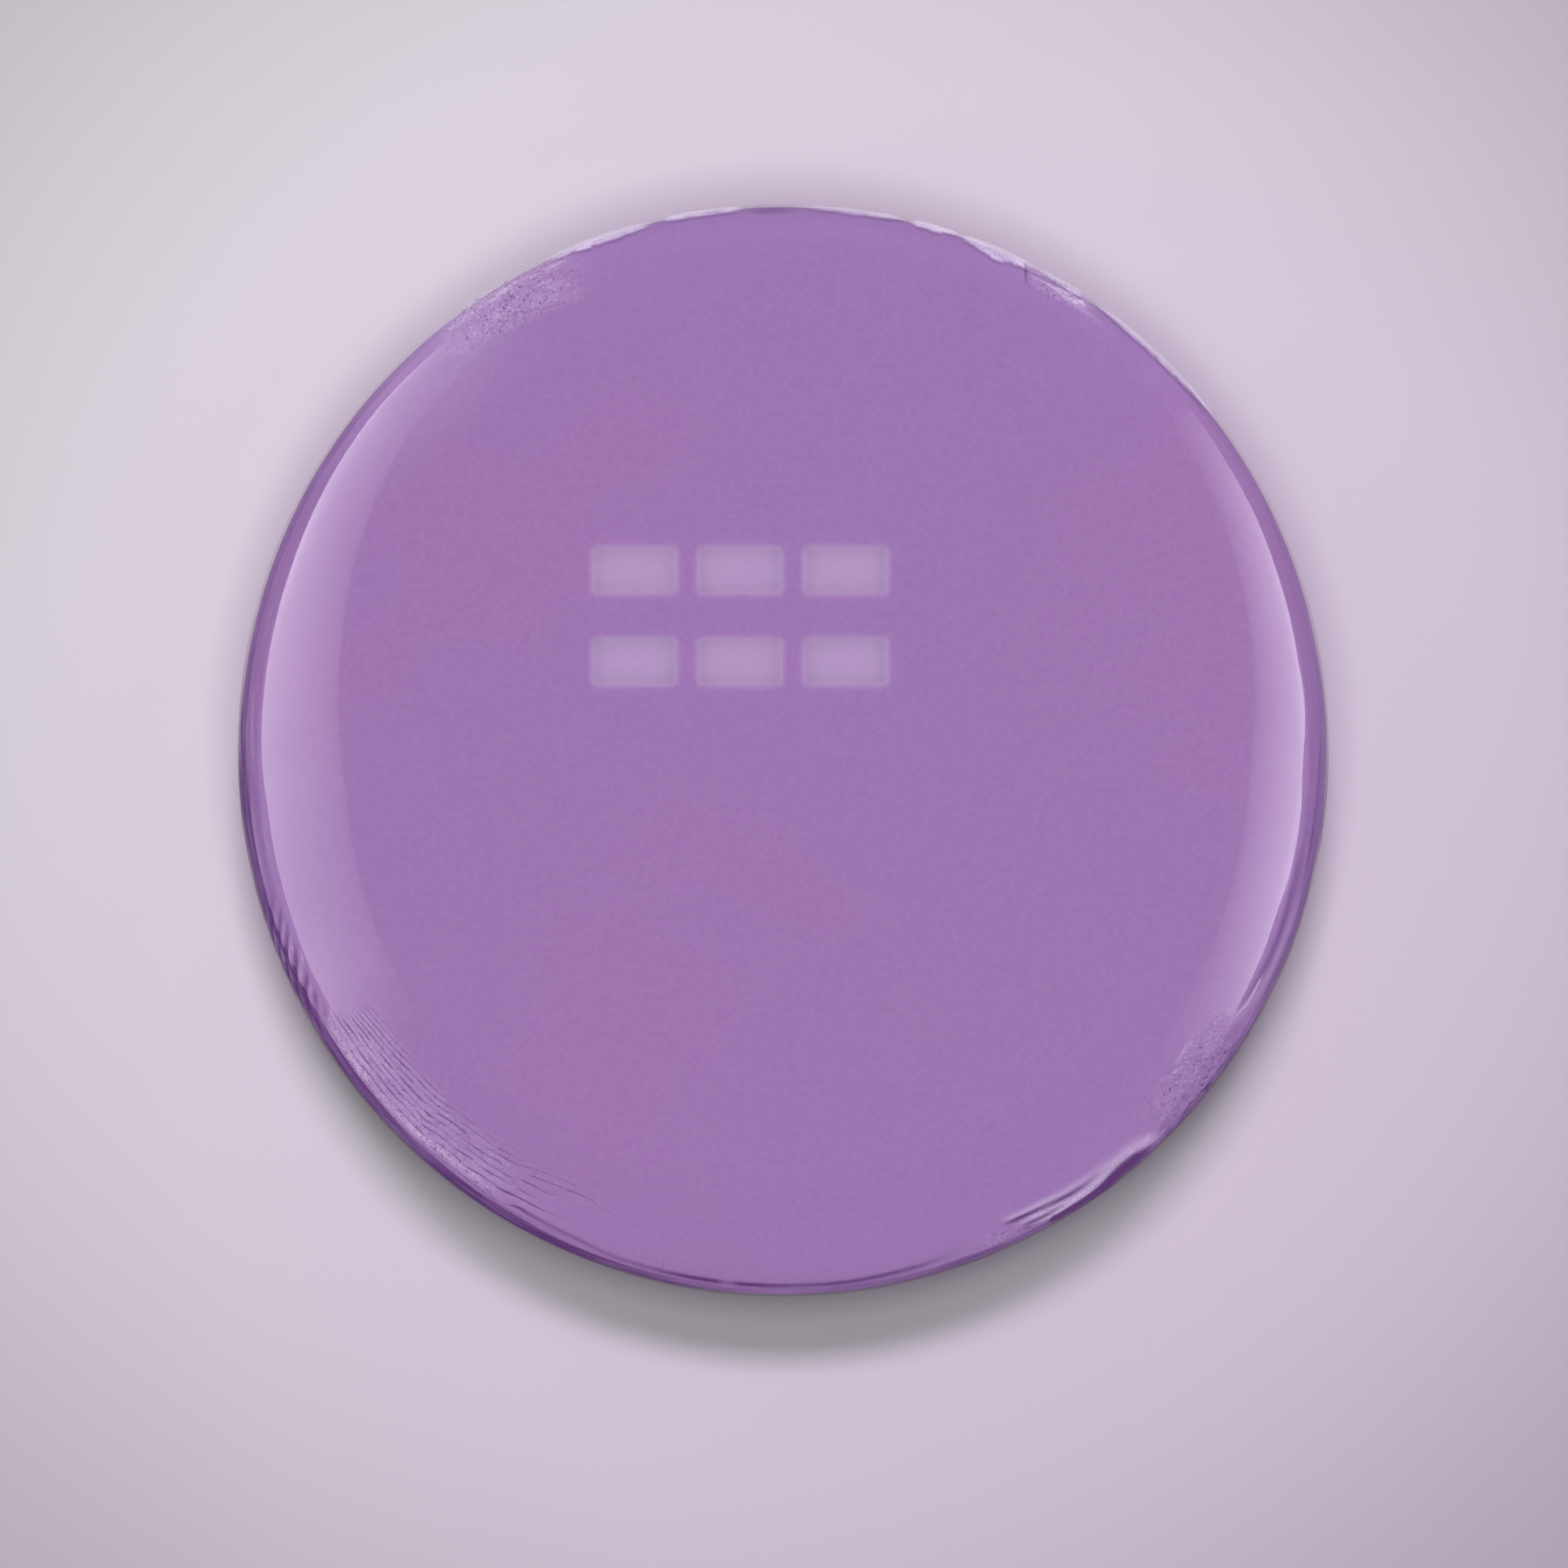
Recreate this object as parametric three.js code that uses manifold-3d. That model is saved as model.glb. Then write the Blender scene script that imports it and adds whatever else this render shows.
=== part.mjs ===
// Shaving soap puck in a clear shrink-film overwrap.
//
// A round cake of translucent purple shaving soap with a wide, soft shoulder on its
// face side and a tighter one on its back. A clear shrink film in two webs closes
// round it: film_front covers the face and the wall, film_back covers the base, and
// the two are welded and trimmed along film_seam, a thin bead low on the wall whose
// four corners carry the bunched film that a square bag leaves on a round cake.
// A round paper label is stuck on the back.
//
// Millimetres, +Z up, origin at the centre of the underside. The face looks along +Z.

import * as THREE from "three";
import { mergeVertices } from "three/addons/utils/BufferGeometryUtils.js";
import Module from "manifold-3d";

// ---- driving dimensions -------------------------------------------------------
const SEG = 64; // facets round the axis
const SOAP_R = 35.0; // cake radius
const SOAP_H = 21.5; // cake height
const FACE_A = 9.0; // face shoulder, radial reach
const FACE_B = 6.8; // face shoulder, drop
const BACK_A = 5.0; // back shoulder, radial reach
const BACK_B = 4.2; // back shoulder, rise
const FILM_T = 0.15; // film wall, thickened from a real 0.02 to 0.04
const FILM_GAP = 0.1; // clearance between cake and film
const LABEL_R = 22.0; // back label radius
const LABEL_T = 0.12; // back label, paper and adhesive
const SEAM_Z = 3.3; // height of the weld above the cake's base
const SEAM_SPLIT = 0.06; // gap between the two webs under the bead
const BEAD_H = 0.55; // bead height along the wall
const BEAD_T = 0.28; // bead thickness off the wall
const BEAD_OFF = 0.08; // clearance from the webs to the bead
const EAR_H = 3.6; // how far a corner gather climbs above the weld
const EAR_DROP = 0.9; // how far it hangs below
const EAR_T = 0.22; // extra thickness in a gather
const EAR_HALF = 6.5; // half of its width, in degrees
const EARS = [60, 125, 219, 311]; // where the four corners of the bag lie, in degrees
const VENT_R = 0.7; // air-release pinholes in the back web
const VENT_AT = 26.5; // their distance from the axis
const VENTS = [20, 200]; // and their angles
const TILE_W = 5.7; // blank pressed tiles on the face
const TILE_H = 3.4;
const TILE_PITCH_X = 6.7;
const TILE_PITCH_Y = 5.8;
const TILE_DEPTH = 0.35;
const TILE_CORNER = 0.5;
const TILE_CENTRE = [-2.75, 8.6];
// -------------------------------------------------------------------------------

const SOAP_Z = LABEL_T + FILM_T + FILM_GAP; // height of the cake's base

const wasm = await Module();
wasm.setup();

const DEG = Math.PI / 180;

// The cake's outline from the middle of its face to the middle of its base, as
// points with outward normals: [r, z, nr, nz].
function outline(faceSteps, backSteps) {
  const pts = [];
  const top = SOAP_Z + SOAP_H;
  for (let i = 0; i <= faceSteps; i++) {
    const t = (i / faceSteps) * (Math.PI / 2);
    const nr = Math.sin(t) / FACE_A,
      nz = Math.cos(t) / FACE_B,
      l = Math.hypot(nr, nz);
    pts.push([
      SOAP_R - FACE_A + FACE_A * Math.sin(t),
      top - FACE_B + FACE_B * Math.cos(t),
      nr / l,
      nz / l,
    ]);
  }
  for (let i = 0; i <= backSteps; i++) {
    const t = (i / backSteps) * (Math.PI / 2);
    const nr = Math.cos(t) / BACK_A,
      nz = -Math.sin(t) / BACK_B,
      l = Math.hypot(nr, nz);
    pts.push([
      SOAP_R - BACK_A + BACK_A * Math.cos(t),
      SOAP_Z + BACK_B - BACK_B * Math.sin(t),
      nr / l,
      nz / l,
    ]);
  }
  return pts;
}

const skin = outline(8, 6);
const moved = (p, d) => new THREE.Vector2(p[0] + p[2] * d, p[1] + p[3] * d);

// The skin moved outward by d, cut at height z: the part above it or below it.
function skinAbove(d, z) {
  const pts = skin.map((p) => moved(p, d));
  const out = [new THREE.Vector2(0, pts[0].y)];
  for (let i = 0; i < pts.length; i++) {
    if (pts[i].y > z + 1e-6) {
      out.push(pts[i]);
      continue;
    }
    const a = pts[i - 1],
      b = pts[i];
    out.push(a.clone().lerp(b, (a.y - z) / (a.y - b.y)));
    break;
  }
  return out;
}

function skinBelow(d, z) {
  const pts = skin.map((p) => moved(p, d));
  const last = pts[pts.length - 1];
  const out = [new THREE.Vector2(0, last.y)];
  for (let i = pts.length - 1; i >= 0; i--) {
    if (pts[i].y < z - 1e-6) {
      out.push(pts[i]);
      continue;
    }
    const a = pts[i + 1],
      b = pts[i];
    out.push(a.clone().lerp(b, (z - a.y) / (b.y - a.y)));
    break;
  }
  return out;
}

// The radius of the skin moved outward by d, at height z, below the widest ring.
function radiusAt(d, z) {
  const pts = skin.map((p) => moved(p, d));
  for (let i = 1; i < pts.length; i++) {
    if (pts[i].y <= z && pts[i - 1].y >= z && pts[i - 1].y - pts[i].y > 1e-9) {
      const k = (pts[i - 1].y - z) / (pts[i - 1].y - pts[i].y);
      return pts[i - 1].x + k * (pts[i].x - pts[i - 1].x);
    }
  }
  return pts[pts.length - 1].x;
}

// A solid of revolution about +Z from a profile of (r, z) points.
function lathe(profile) {
  const g = new THREE.LatheGeometry(profile, SEG);
  g.rotateX(Math.PI / 2);
  return g;
}

function asSolid(geometry) {
  const g = geometry.index ? geometry.toNonIndexed() : geometry.clone();
  g.deleteAttribute("normal");
  g.deleteAttribute("uv");
  const m = mergeVertices(g, 1e-4);
  return new wasm.Manifold(
    new wasm.Mesh({
      numProp: 3,
      vertProperties: new Float32Array(m.attributes.position.array),
      triVerts: new Uint32Array(m.index.array),
    }),
  );
}

function fromSolid(solid) {
  const m = solid.getMesh();
  const g = new THREE.BufferGeometry();
  const v = new Float32Array(m.numVert * 3);
  for (let i = 0; i < m.numVert; i++)
    v.set(m.vertProperties.subarray(i * m.numProp, i * m.numProp + 3), i * 3);
  g.setAttribute("position", new THREE.BufferAttribute(v, 3));
  g.setIndex(new THREE.BufferAttribute(new Uint32Array(m.triVerts), 1));
  const flat = g.toNonIndexed();
  flat.computeVertexNormals();
  return flat;
}

function roundedRect(w, h, r) {
  const s = new THREE.Shape();
  const x = w / 2,
    y = h / 2;
  s.moveTo(-x + r, -y);
  s.lineTo(x - r, -y);
  s.absarc(x - r, -y + r, r, -Math.PI / 2, 0, false);
  s.lineTo(x, y - r);
  s.absarc(x - r, y - r, r, 0, Math.PI / 2, false);
  s.lineTo(-x + r, y);
  s.absarc(-x + r, y - r, r, Math.PI / 2, Math.PI, false);
  s.lineTo(-x, -y + r);
  s.absarc(-x + r, -y + r, r, Math.PI, 1.5 * Math.PI, false);
  return s;
}

// ---- soap_puck: one cast solid with the blank pressed tiles in its face ---------
function soapPuck() {
  const pts = skin.map((p) => moved(p, 0));
  const profile = [
    new THREE.Vector2(0, pts[pts.length - 1].y),
    ...pts.slice().reverse(),
    new THREE.Vector2(0, pts[0].y),
  ];
  let solid = asSolid(lathe(profile));
  const top = SOAP_Z + SOAP_H;
  for (const row of [-0.5, 0.5]) {
    for (const col of [-1, 0, 1]) {
      const g = new THREE.ExtrudeGeometry(
        roundedRect(TILE_W, TILE_H, TILE_CORNER),
        { depth: TILE_DEPTH + 1, bevelEnabled: false, curveSegments: 3 },
      );
      g.translate(
        TILE_CENTRE[0] + col * TILE_PITCH_X,
        TILE_CENTRE[1] + row * TILE_PITCH_Y,
        top - TILE_DEPTH,
      );
      solid = solid.subtract(asSolid(g));
    }
  }
  return fromSolid(solid);
}

// ---- film_front: the web over the face and down the wall to the weld -----------
function filmFront() {
  const z = SOAP_Z + SEAM_Z + SEAM_SPLIT / 2;
  const inner = skinAbove(FILM_GAP, z);
  const outer = skinAbove(FILM_GAP + FILM_T, z);
  return lathe([...inner, ...outer.slice().reverse()]);
}

// ---- film_back: the web across the base and up to the weld, with two vents -----
function filmBack() {
  const z = SOAP_Z + SEAM_Z - SEAM_SPLIT / 2;
  const inner = skinBelow(FILM_GAP, z);
  const outer = skinBelow(FILM_GAP + FILM_T, z);
  let solid = asSolid(lathe([...outer, ...inner.slice().reverse()]));
  for (const a of VENTS) {
    const g = new THREE.CylinderGeometry(VENT_R, VENT_R, 1, 12);
    g.rotateX(Math.PI / 2);
    g.translate(
      VENT_AT * Math.cos(a * DEG),
      VENT_AT * Math.sin(a * DEG),
      LABEL_T + FILM_T / 2,
    );
    solid = solid.subtract(asSolid(g));
  }
  return fromSolid(solid);
}

// ---- film_seam: the trimmed weld bead with its four corner gathers --------------
function earAt(deg) {
  let best = 0;
  EARS.forEach((e, i) => {
    const d = Math.abs(((deg - e + 540) % 360) - 180);
    const half = EAR_HALF * (1 + 0.12 * ((i % 2) * 2 - 1));
    if (d < half) best = Math.max(best, Math.cos((d / half) * (Math.PI / 2)) ** 1.3);
  });
  return best;
}

function filmSeam() {
  const mid = SOAP_Z + SEAM_Z;
  const n = 6; // points along each side of the section
  const section = [];
  for (let i = 0; i < n; i++) section.push([i / (n - 1), 1]); // up the outside
  for (let i = n - 1; i >= 0; i--) section.push([i / (n - 1), 0]); // down along the wall
  section.push([0, 1]);
  const profile = section.map(
    ([u, side]) => new THREE.Vector2(SOAP_R + side, u), // placeholders, placed below
  );
  const g = new THREE.LatheGeometry(profile, SEG * 2);
  g.rotateX(Math.PI / 2);
  const pos = g.attributes.position;
  const rows = section.length;
  for (let i = 0; i < pos.count; i++) {
    const [u, side] = section[i % rows];
    const a = Math.atan2(pos.getY(i), pos.getX(i));
    const turn = ((Math.round((a / DEG) * 1e4) / 1e4 + 360) % 360) * 1;
    const ear = earAt(turn);
    const low = mid - BEAD_H / 2 - EAR_DROP * ear;
    const high = mid + BEAD_H / 2 + EAR_H * ear;
    const z = low + (high - low) * u;
    const inside = radiusAt(FILM_GAP + FILM_T, z) + BEAD_OFF;
    const crumple = ear * (0.5 + 0.5 * Math.sin(turn * 2.2 + u * 3.0));
    const thick =
      (BEAD_T + EAR_T * crumple) * Math.sin(Math.PI * (0.18 + 0.64 * u)) ** 0.7;
    const r = inside + side * thick;
    pos.setXYZ(i, r * Math.cos(a), r * Math.sin(a), z);
  }
  return g;
}

// ---- back_label: a round paper label under the back web -----------------------
function backLabel() {
  return lathe([
    new THREE.Vector2(0, 0),
    new THREE.Vector2(LABEL_R, 0),
    new THREE.Vector2(LABEL_R, LABEL_T),
    new THREE.Vector2(0, LABEL_T),
  ]);
}

// ---- assembly ---------------------------------------------------------------------
const soap = new THREE.MeshStandardMaterial({
  color: new THREE.Color(0.608, 0.459, 0.69),
  roughness: 0.42,
  metalness: 0,
});
const film = new THREE.MeshStandardMaterial({
  color: new THREE.Color(0.93, 0.92, 0.95),
  roughness: 0.08,
  metalness: 0,
  transparent: true,
  opacity: 0.25,
});
const weld = new THREE.MeshStandardMaterial({
  color: new THREE.Color(0.9, 0.88, 0.94),
  roughness: 0.16,
  metalness: 0,
  transparent: true,
  opacity: 0.5,
});
const paper = new THREE.MeshStandardMaterial({
  color: new THREE.Color(0.93, 0.92, 0.9),
  roughness: 0.75,
  metalness: 0,
});

function piece(name, geometry, material) {
  const m = new THREE.Mesh(geometry, material);
  m.name = name;
  return m;
}

const puck = new THREE.Group();
puck.name = "shaving_soap_puck";
puck.add(piece("soap_puck", soapPuck(), soap));

const overwrap = new THREE.Group();
overwrap.name = "overwrap";
overwrap.add(piece("film_front", filmFront(), film));
overwrap.add(piece("film_back", filmBack(), film));
overwrap.add(piece("film_seam", filmSeam(), weld));
puck.add(overwrap);

puck.add(piece("back_label", backLabel(), paper));

export default puck;
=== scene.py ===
"""Shaving soap puck in a clear shrink-film overwrap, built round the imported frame.

Everything is in metres in the frame's own axes: +Z up through the face, +X right and
+Y up as the face is looked at. Helpers work in millimetres and scale at the end.
"""

import math

import bpy
import numpy as np
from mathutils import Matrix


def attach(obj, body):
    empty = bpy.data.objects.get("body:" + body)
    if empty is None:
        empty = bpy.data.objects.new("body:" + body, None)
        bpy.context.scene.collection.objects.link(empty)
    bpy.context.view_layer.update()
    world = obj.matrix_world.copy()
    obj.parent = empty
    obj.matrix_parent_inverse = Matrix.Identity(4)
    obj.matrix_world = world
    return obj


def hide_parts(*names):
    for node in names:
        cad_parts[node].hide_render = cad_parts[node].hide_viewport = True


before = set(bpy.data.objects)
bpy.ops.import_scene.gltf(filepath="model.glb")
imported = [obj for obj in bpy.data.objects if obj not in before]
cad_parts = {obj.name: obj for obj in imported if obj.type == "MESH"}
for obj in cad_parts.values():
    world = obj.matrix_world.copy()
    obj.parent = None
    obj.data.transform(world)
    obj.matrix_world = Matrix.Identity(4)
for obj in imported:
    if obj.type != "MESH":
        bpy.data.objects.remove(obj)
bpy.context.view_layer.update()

MM = 0.001
DEG = math.pi / 180.0

# ---------------------------------------------------------------- driving dimensions
SOAP_Z = 0.37  # height of the cake's base
SOAP_R = 35.0
SOAP_H = 21.5
FACE_A, FACE_B = 9.0, 6.8  # face shoulder: radial reach, drop
BACK_A, BACK_B = 5.0, 4.2  # back shoulder
FILM_IN = 0.05  # the film's inner skin above the cake
FILM_OUT = 0.19  # and its outer skin
SEAM_Z = SOAP_Z + 3.3
LABEL_R, LABEL_T = 22.0, 0.12
TILE_W, TILE_H = 5.7, 3.4
TILE_PX, TILE_PY = 6.7, 5.8
TILE_DEPTH = 0.30
TILE_C = (-2.75, 8.6)
RIM = 35.25  # outside radius of the film
EARS = (60.0, 125.0, 219.0, 311.0)
EYE = 394.6  # the creases are set out in plan as they lie for an eye at this height

TOP = SOAP_Z + SOAP_H


# ------------------------------------------------------------------------- noise kit
_rng = np.random.default_rng(20411)
_TABLE = _rng.uniform(-1.0, 1.0, size=(32, 32, 32))


def vnoise(x, y, z, seed=0.0):
    """Smooth value noise in -1..1 with features of about one unit."""
    x = np.asarray(x, float) + 13.7 * seed
    y = np.asarray(y, float) + 7.3 * seed
    z = np.asarray(z, float) + 3.1 * seed
    x, y, z = np.broadcast_arrays(x, y, z)
    xi, yi, zi = np.floor(x), np.floor(y), np.floor(z)
    fx, fy, fz = x - xi, y - yi, z - zi
    fx, fy, fz = (f * f * f * (f * (f * 6 - 15) + 10) for f in (fx, fy, fz))
    xi, yi, zi = (v.astype(int) for v in (xi, yi, zi))
    out = 0.0
    for dx in (0, 1):
        wx = fx if dx else 1 - fx
        for dy in (0, 1):
            wy = fy if dy else 1 - fy
            for dz in (0, 1):
                wz = fz if dz else 1 - fz
                out = out + wx * wy * wz * _TABLE[(xi + dx) & 31, (yi + dy) & 31, (zi + dz) & 31]
    return out


def fbm(x, y, z, seed=0.0, octaves=3, gain=0.5):
    out, amp, f, norm = 0.0, 1.0, 1.0, 0.0
    for k in range(octaves):
        out = out + amp * vnoise(np.asarray(x) * f, np.asarray(y) * f, np.asarray(z) * f, seed + k * 1.7)
        norm += amp
        amp *= gain
        f *= 2.03
    return out / norm


def step(a, b, x):
    """Smooth 0..1 ramp from a to b, either way round."""
    t = np.clip((np.asarray(x, float) - a) / (b - a), 0.0, 1.0)
    return t * t * (3 - 2 * t)


def bump(x, centre, half):
    """1 at centre, smoothly 0 at centre +- half."""
    t = np.clip(np.abs(np.asarray(x, float) - centre) / half, 0.0, 1.0)
    return (1 - t * t) ** 2


def turn(theta, centre):
    """Signed angle in degrees from centre, -180..180."""
    return (np.asarray(theta, float) - centre + 540.0) % 360.0 - 180.0


# ------------------------------------------------------------------------ the profile
def outline(n_face, n_face_shoulder, n_wall, n_back, n_base, face_pow=1.0):
    """Points down the cake's outline from the middle of the face to the middle of the base:
    rows of r, z, nr, nz, u (distance along it), in mm."""
    rows = []
    flat = SOAP_R - FACE_A
    for i in range(n_face):
        rows.append((flat * (i / n_face) ** face_pow, TOP, 0.0, 1.0))
    for i in range(n_face_shoulder + 1):
        t = i / n_face_shoulder * math.pi / 2
        nr, nz = math.sin(t) / FACE_A, math.cos(t) / FACE_B
        l = math.hypot(nr, nz)
        rows.append((flat + FACE_A * math.sin(t), TOP - FACE_B + FACE_B * math.cos(t), nr / l, nz / l))
    z0, z1 = TOP - FACE_B, SOAP_Z + BACK_B
    for i in range(1, n_wall):
        rows.append((SOAP_R, z0 + (z1 - z0) * i / n_wall, 1.0, 0.0))
    for i in range(n_back + 1):
        t = i / n_back * math.pi / 2
        nr, nz = math.cos(t) / BACK_A, -math.sin(t) / BACK_B
        l = math.hypot(nr, nz)
        rows.append((SOAP_R - BACK_A + BACK_A * math.cos(t), z1 - BACK_B * math.sin(t), nr / l, nz / l))
    back_flat = SOAP_R - BACK_A
    for i in range(1, n_base):
        rows.append((back_flat * (1 - i / n_base), SOAP_Z, 0.0, -1.0))
    rows = np.array(rows)
    u = np.concatenate([[0.0], np.cumsum(np.hypot(np.diff(rows[:, 0]), np.diff(rows[:, 1])))])
    return np.column_stack([rows, u])


_FINE = outline(400, 1200, 600, 600, 400)
U_FLAT = float(_FINE[400, 4])  # end of the flat face
U_WALL = float(_FINE[400 + 1200, 4])  # top of the wall
U_BACK = float(_FINE[400 + 1200 + 600, 4])  # foot of the wall
U_BASE = float(_FINE[400 + 1200 + 600 + 600, 4])  # start of the flat base
U_SEAM = float(np.interp(-SEAM_Z, -_FINE[1700:2600, 1], _FINE[1700:2600, 4]))
U_END = float(_FINE[-1, 4])


def at(u):
    """The outline's r, z, nr, nz at distances u along it."""
    return [np.interp(u, _FINE[:, 4], _FINE[:, k]) for k in range(4)]


def square(theta):
    """How square the face shoulder is at an angle: 2 is the plain ellipse. The cast is fuller on its +Y side."""
    q = np.abs(turn(theta, 90.0))
    return np.interp(q, [0, 35, 50, 62, 76, 92, 180], [3.2, 3.4, 3.4, 2.9, 2.35, 2.0, 2.0])


def fuller(theta, u):
    """The move in r and z, mm, from the plain shoulder to that one."""
    k = np.interp(u, _FINE[:, 4], np.arange(len(_FINE)))
    t = np.clip((k - 400) / 1200.0, 0, 1) * math.pi / 2
    s, c = np.sin(t), np.cos(t)
    p = square(theta)
    g = (s**p + np.maximum(c, 1e-9) ** p) ** (-1 / p) - 1
    on = (k > 400) & (k < 1600)
    return np.where(on, FACE_A * s * g, 0.0), np.where(on, FACE_B * c * g, 0.0)


def u_of_r(r):
    """Distance along the face side at plan radius r, for r below the wall."""
    part = _FINE[: 400 + 1200 + 1]
    return np.interp(r, part[:, 0], part[:, 4])


# --------------------------------------------------------------------- mesh utilities
def make_object(name, verts_mm, faces, smooth=True):
    mesh = bpy.data.meshes.new(name)
    mesh.from_pydata((np.asarray(verts_mm) * MM).tolist(), [], faces)
    mesh.update()
    if smooth:
        mesh.polygons.foreach_set("use_smooth", [True] * len(mesh.polygons))
    mesh.update()
    obj = bpy.data.objects.new(name, mesh)
    bpy.context.collection.objects.link(obj)
    return obj


def attribute(obj, name, values):
    a = obj.data.attributes.new(name=name, type="FLOAT", domain="POINT")
    a.data.foreach_set("value", np.asarray(values, np.float32).ravel())


def grid_faces(rows, cols, base=0, flip=False):
    """Quads of a closed ring grid of rows x cols vertices, numbered row by row."""
    i = np.arange(rows - 1)[:, None] * cols + base
    j = np.arange(cols)[None, :]
    k = (j + 1) % cols
    a, b, c, d = i + j, i + cols + j, i + cols + k, i + k
    q = np.stack([a, b, c, d], axis=-1).reshape(-1, 4)
    if flip:
        q = q[:, ::-1]
    return q.tolist()


def fan_faces(centre, first, cols, flip=False):
    out = []
    for j in range(cols):
        tri = (centre, first + j, first + (j + 1) % cols)
        out.append(tri[::-1] if flip else tri)
    return out


def spline(points, n=90):
    """Catmull-Rom through plan points."""
    p = np.array(points, float)
    p = np.vstack([2 * p[0] - p[1], p, 2 * p[-1] - p[-2]])
    seg = len(p) - 3
    t = np.linspace(0, seg - 1e-9, n)
    k = t.astype(int)
    f = (t - k)[:, None]
    a, b, c, d = p[k], p[k + 1], p[k + 2], p[k + 3]
    return 0.5 * (2 * b + (c - a) * f + (2 * a - 5 * b + 4 * c - d) * f**2 + (3 * b - a - 3 * c + d) * f**3)


def polar(*pairs):
    """Plan points from (degrees, fraction of the rim's radius) pairs."""
    return [(RIM * f * math.cos(a * DEG), RIM * f * math.sin(a * DEG)) for a, f in pairs]


def along(x, y, points, reach=3.0):
    """Signed distance from a plan curve and the place along it 0..1. Positive is away from the axis."""
    c = spline(points)
    lo, hi = c.min(axis=0) - reach, c.max(axis=0) + reach
    near = (x > lo[0]) & (x < hi[0]) & (y > lo[1]) & (y < hi[1])
    dist = np.full(x.shape, 99.0)
    place = np.zeros(x.shape)
    if near.any():
        px, py = x[near], y[near]
        best = np.full(px.shape, 1e9)
        where = np.zeros(px.shape)
        sign = np.ones(px.shape)
        for k in range(len(c) - 1):
            ax, ay = c[k]
            bx, by = c[k + 1]
            dx, dy = bx - ax, by - ay
            ll = dx * dx + dy * dy
            t = np.clip(((px - ax) * dx + (py - ay) * dy) / ll, 0, 1)
            qx, qy = ax + t * dx, ay + t * dy
            d = (px - qx) ** 2 + (py - qy) ** 2
            m = d < best
            best = np.where(m, d, best)
            where = np.where(m, (k + t) / (len(c) - 1), where)
            # outward is the side where the point is further from the axis than the curve
            s = np.where((px - qx) * qx + (py - qy) * qy >= 0, 1.0, -1.0)
            sign = np.where(m, s, sign)
        dist[near] = np.sqrt(best) * sign
        place[near] = where
    return dist, place


def taper(place, lead=0.2, tail=0.2):
    return step(0.0, lead, place) * (1 - step(1 - tail, 1.0, place))


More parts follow.
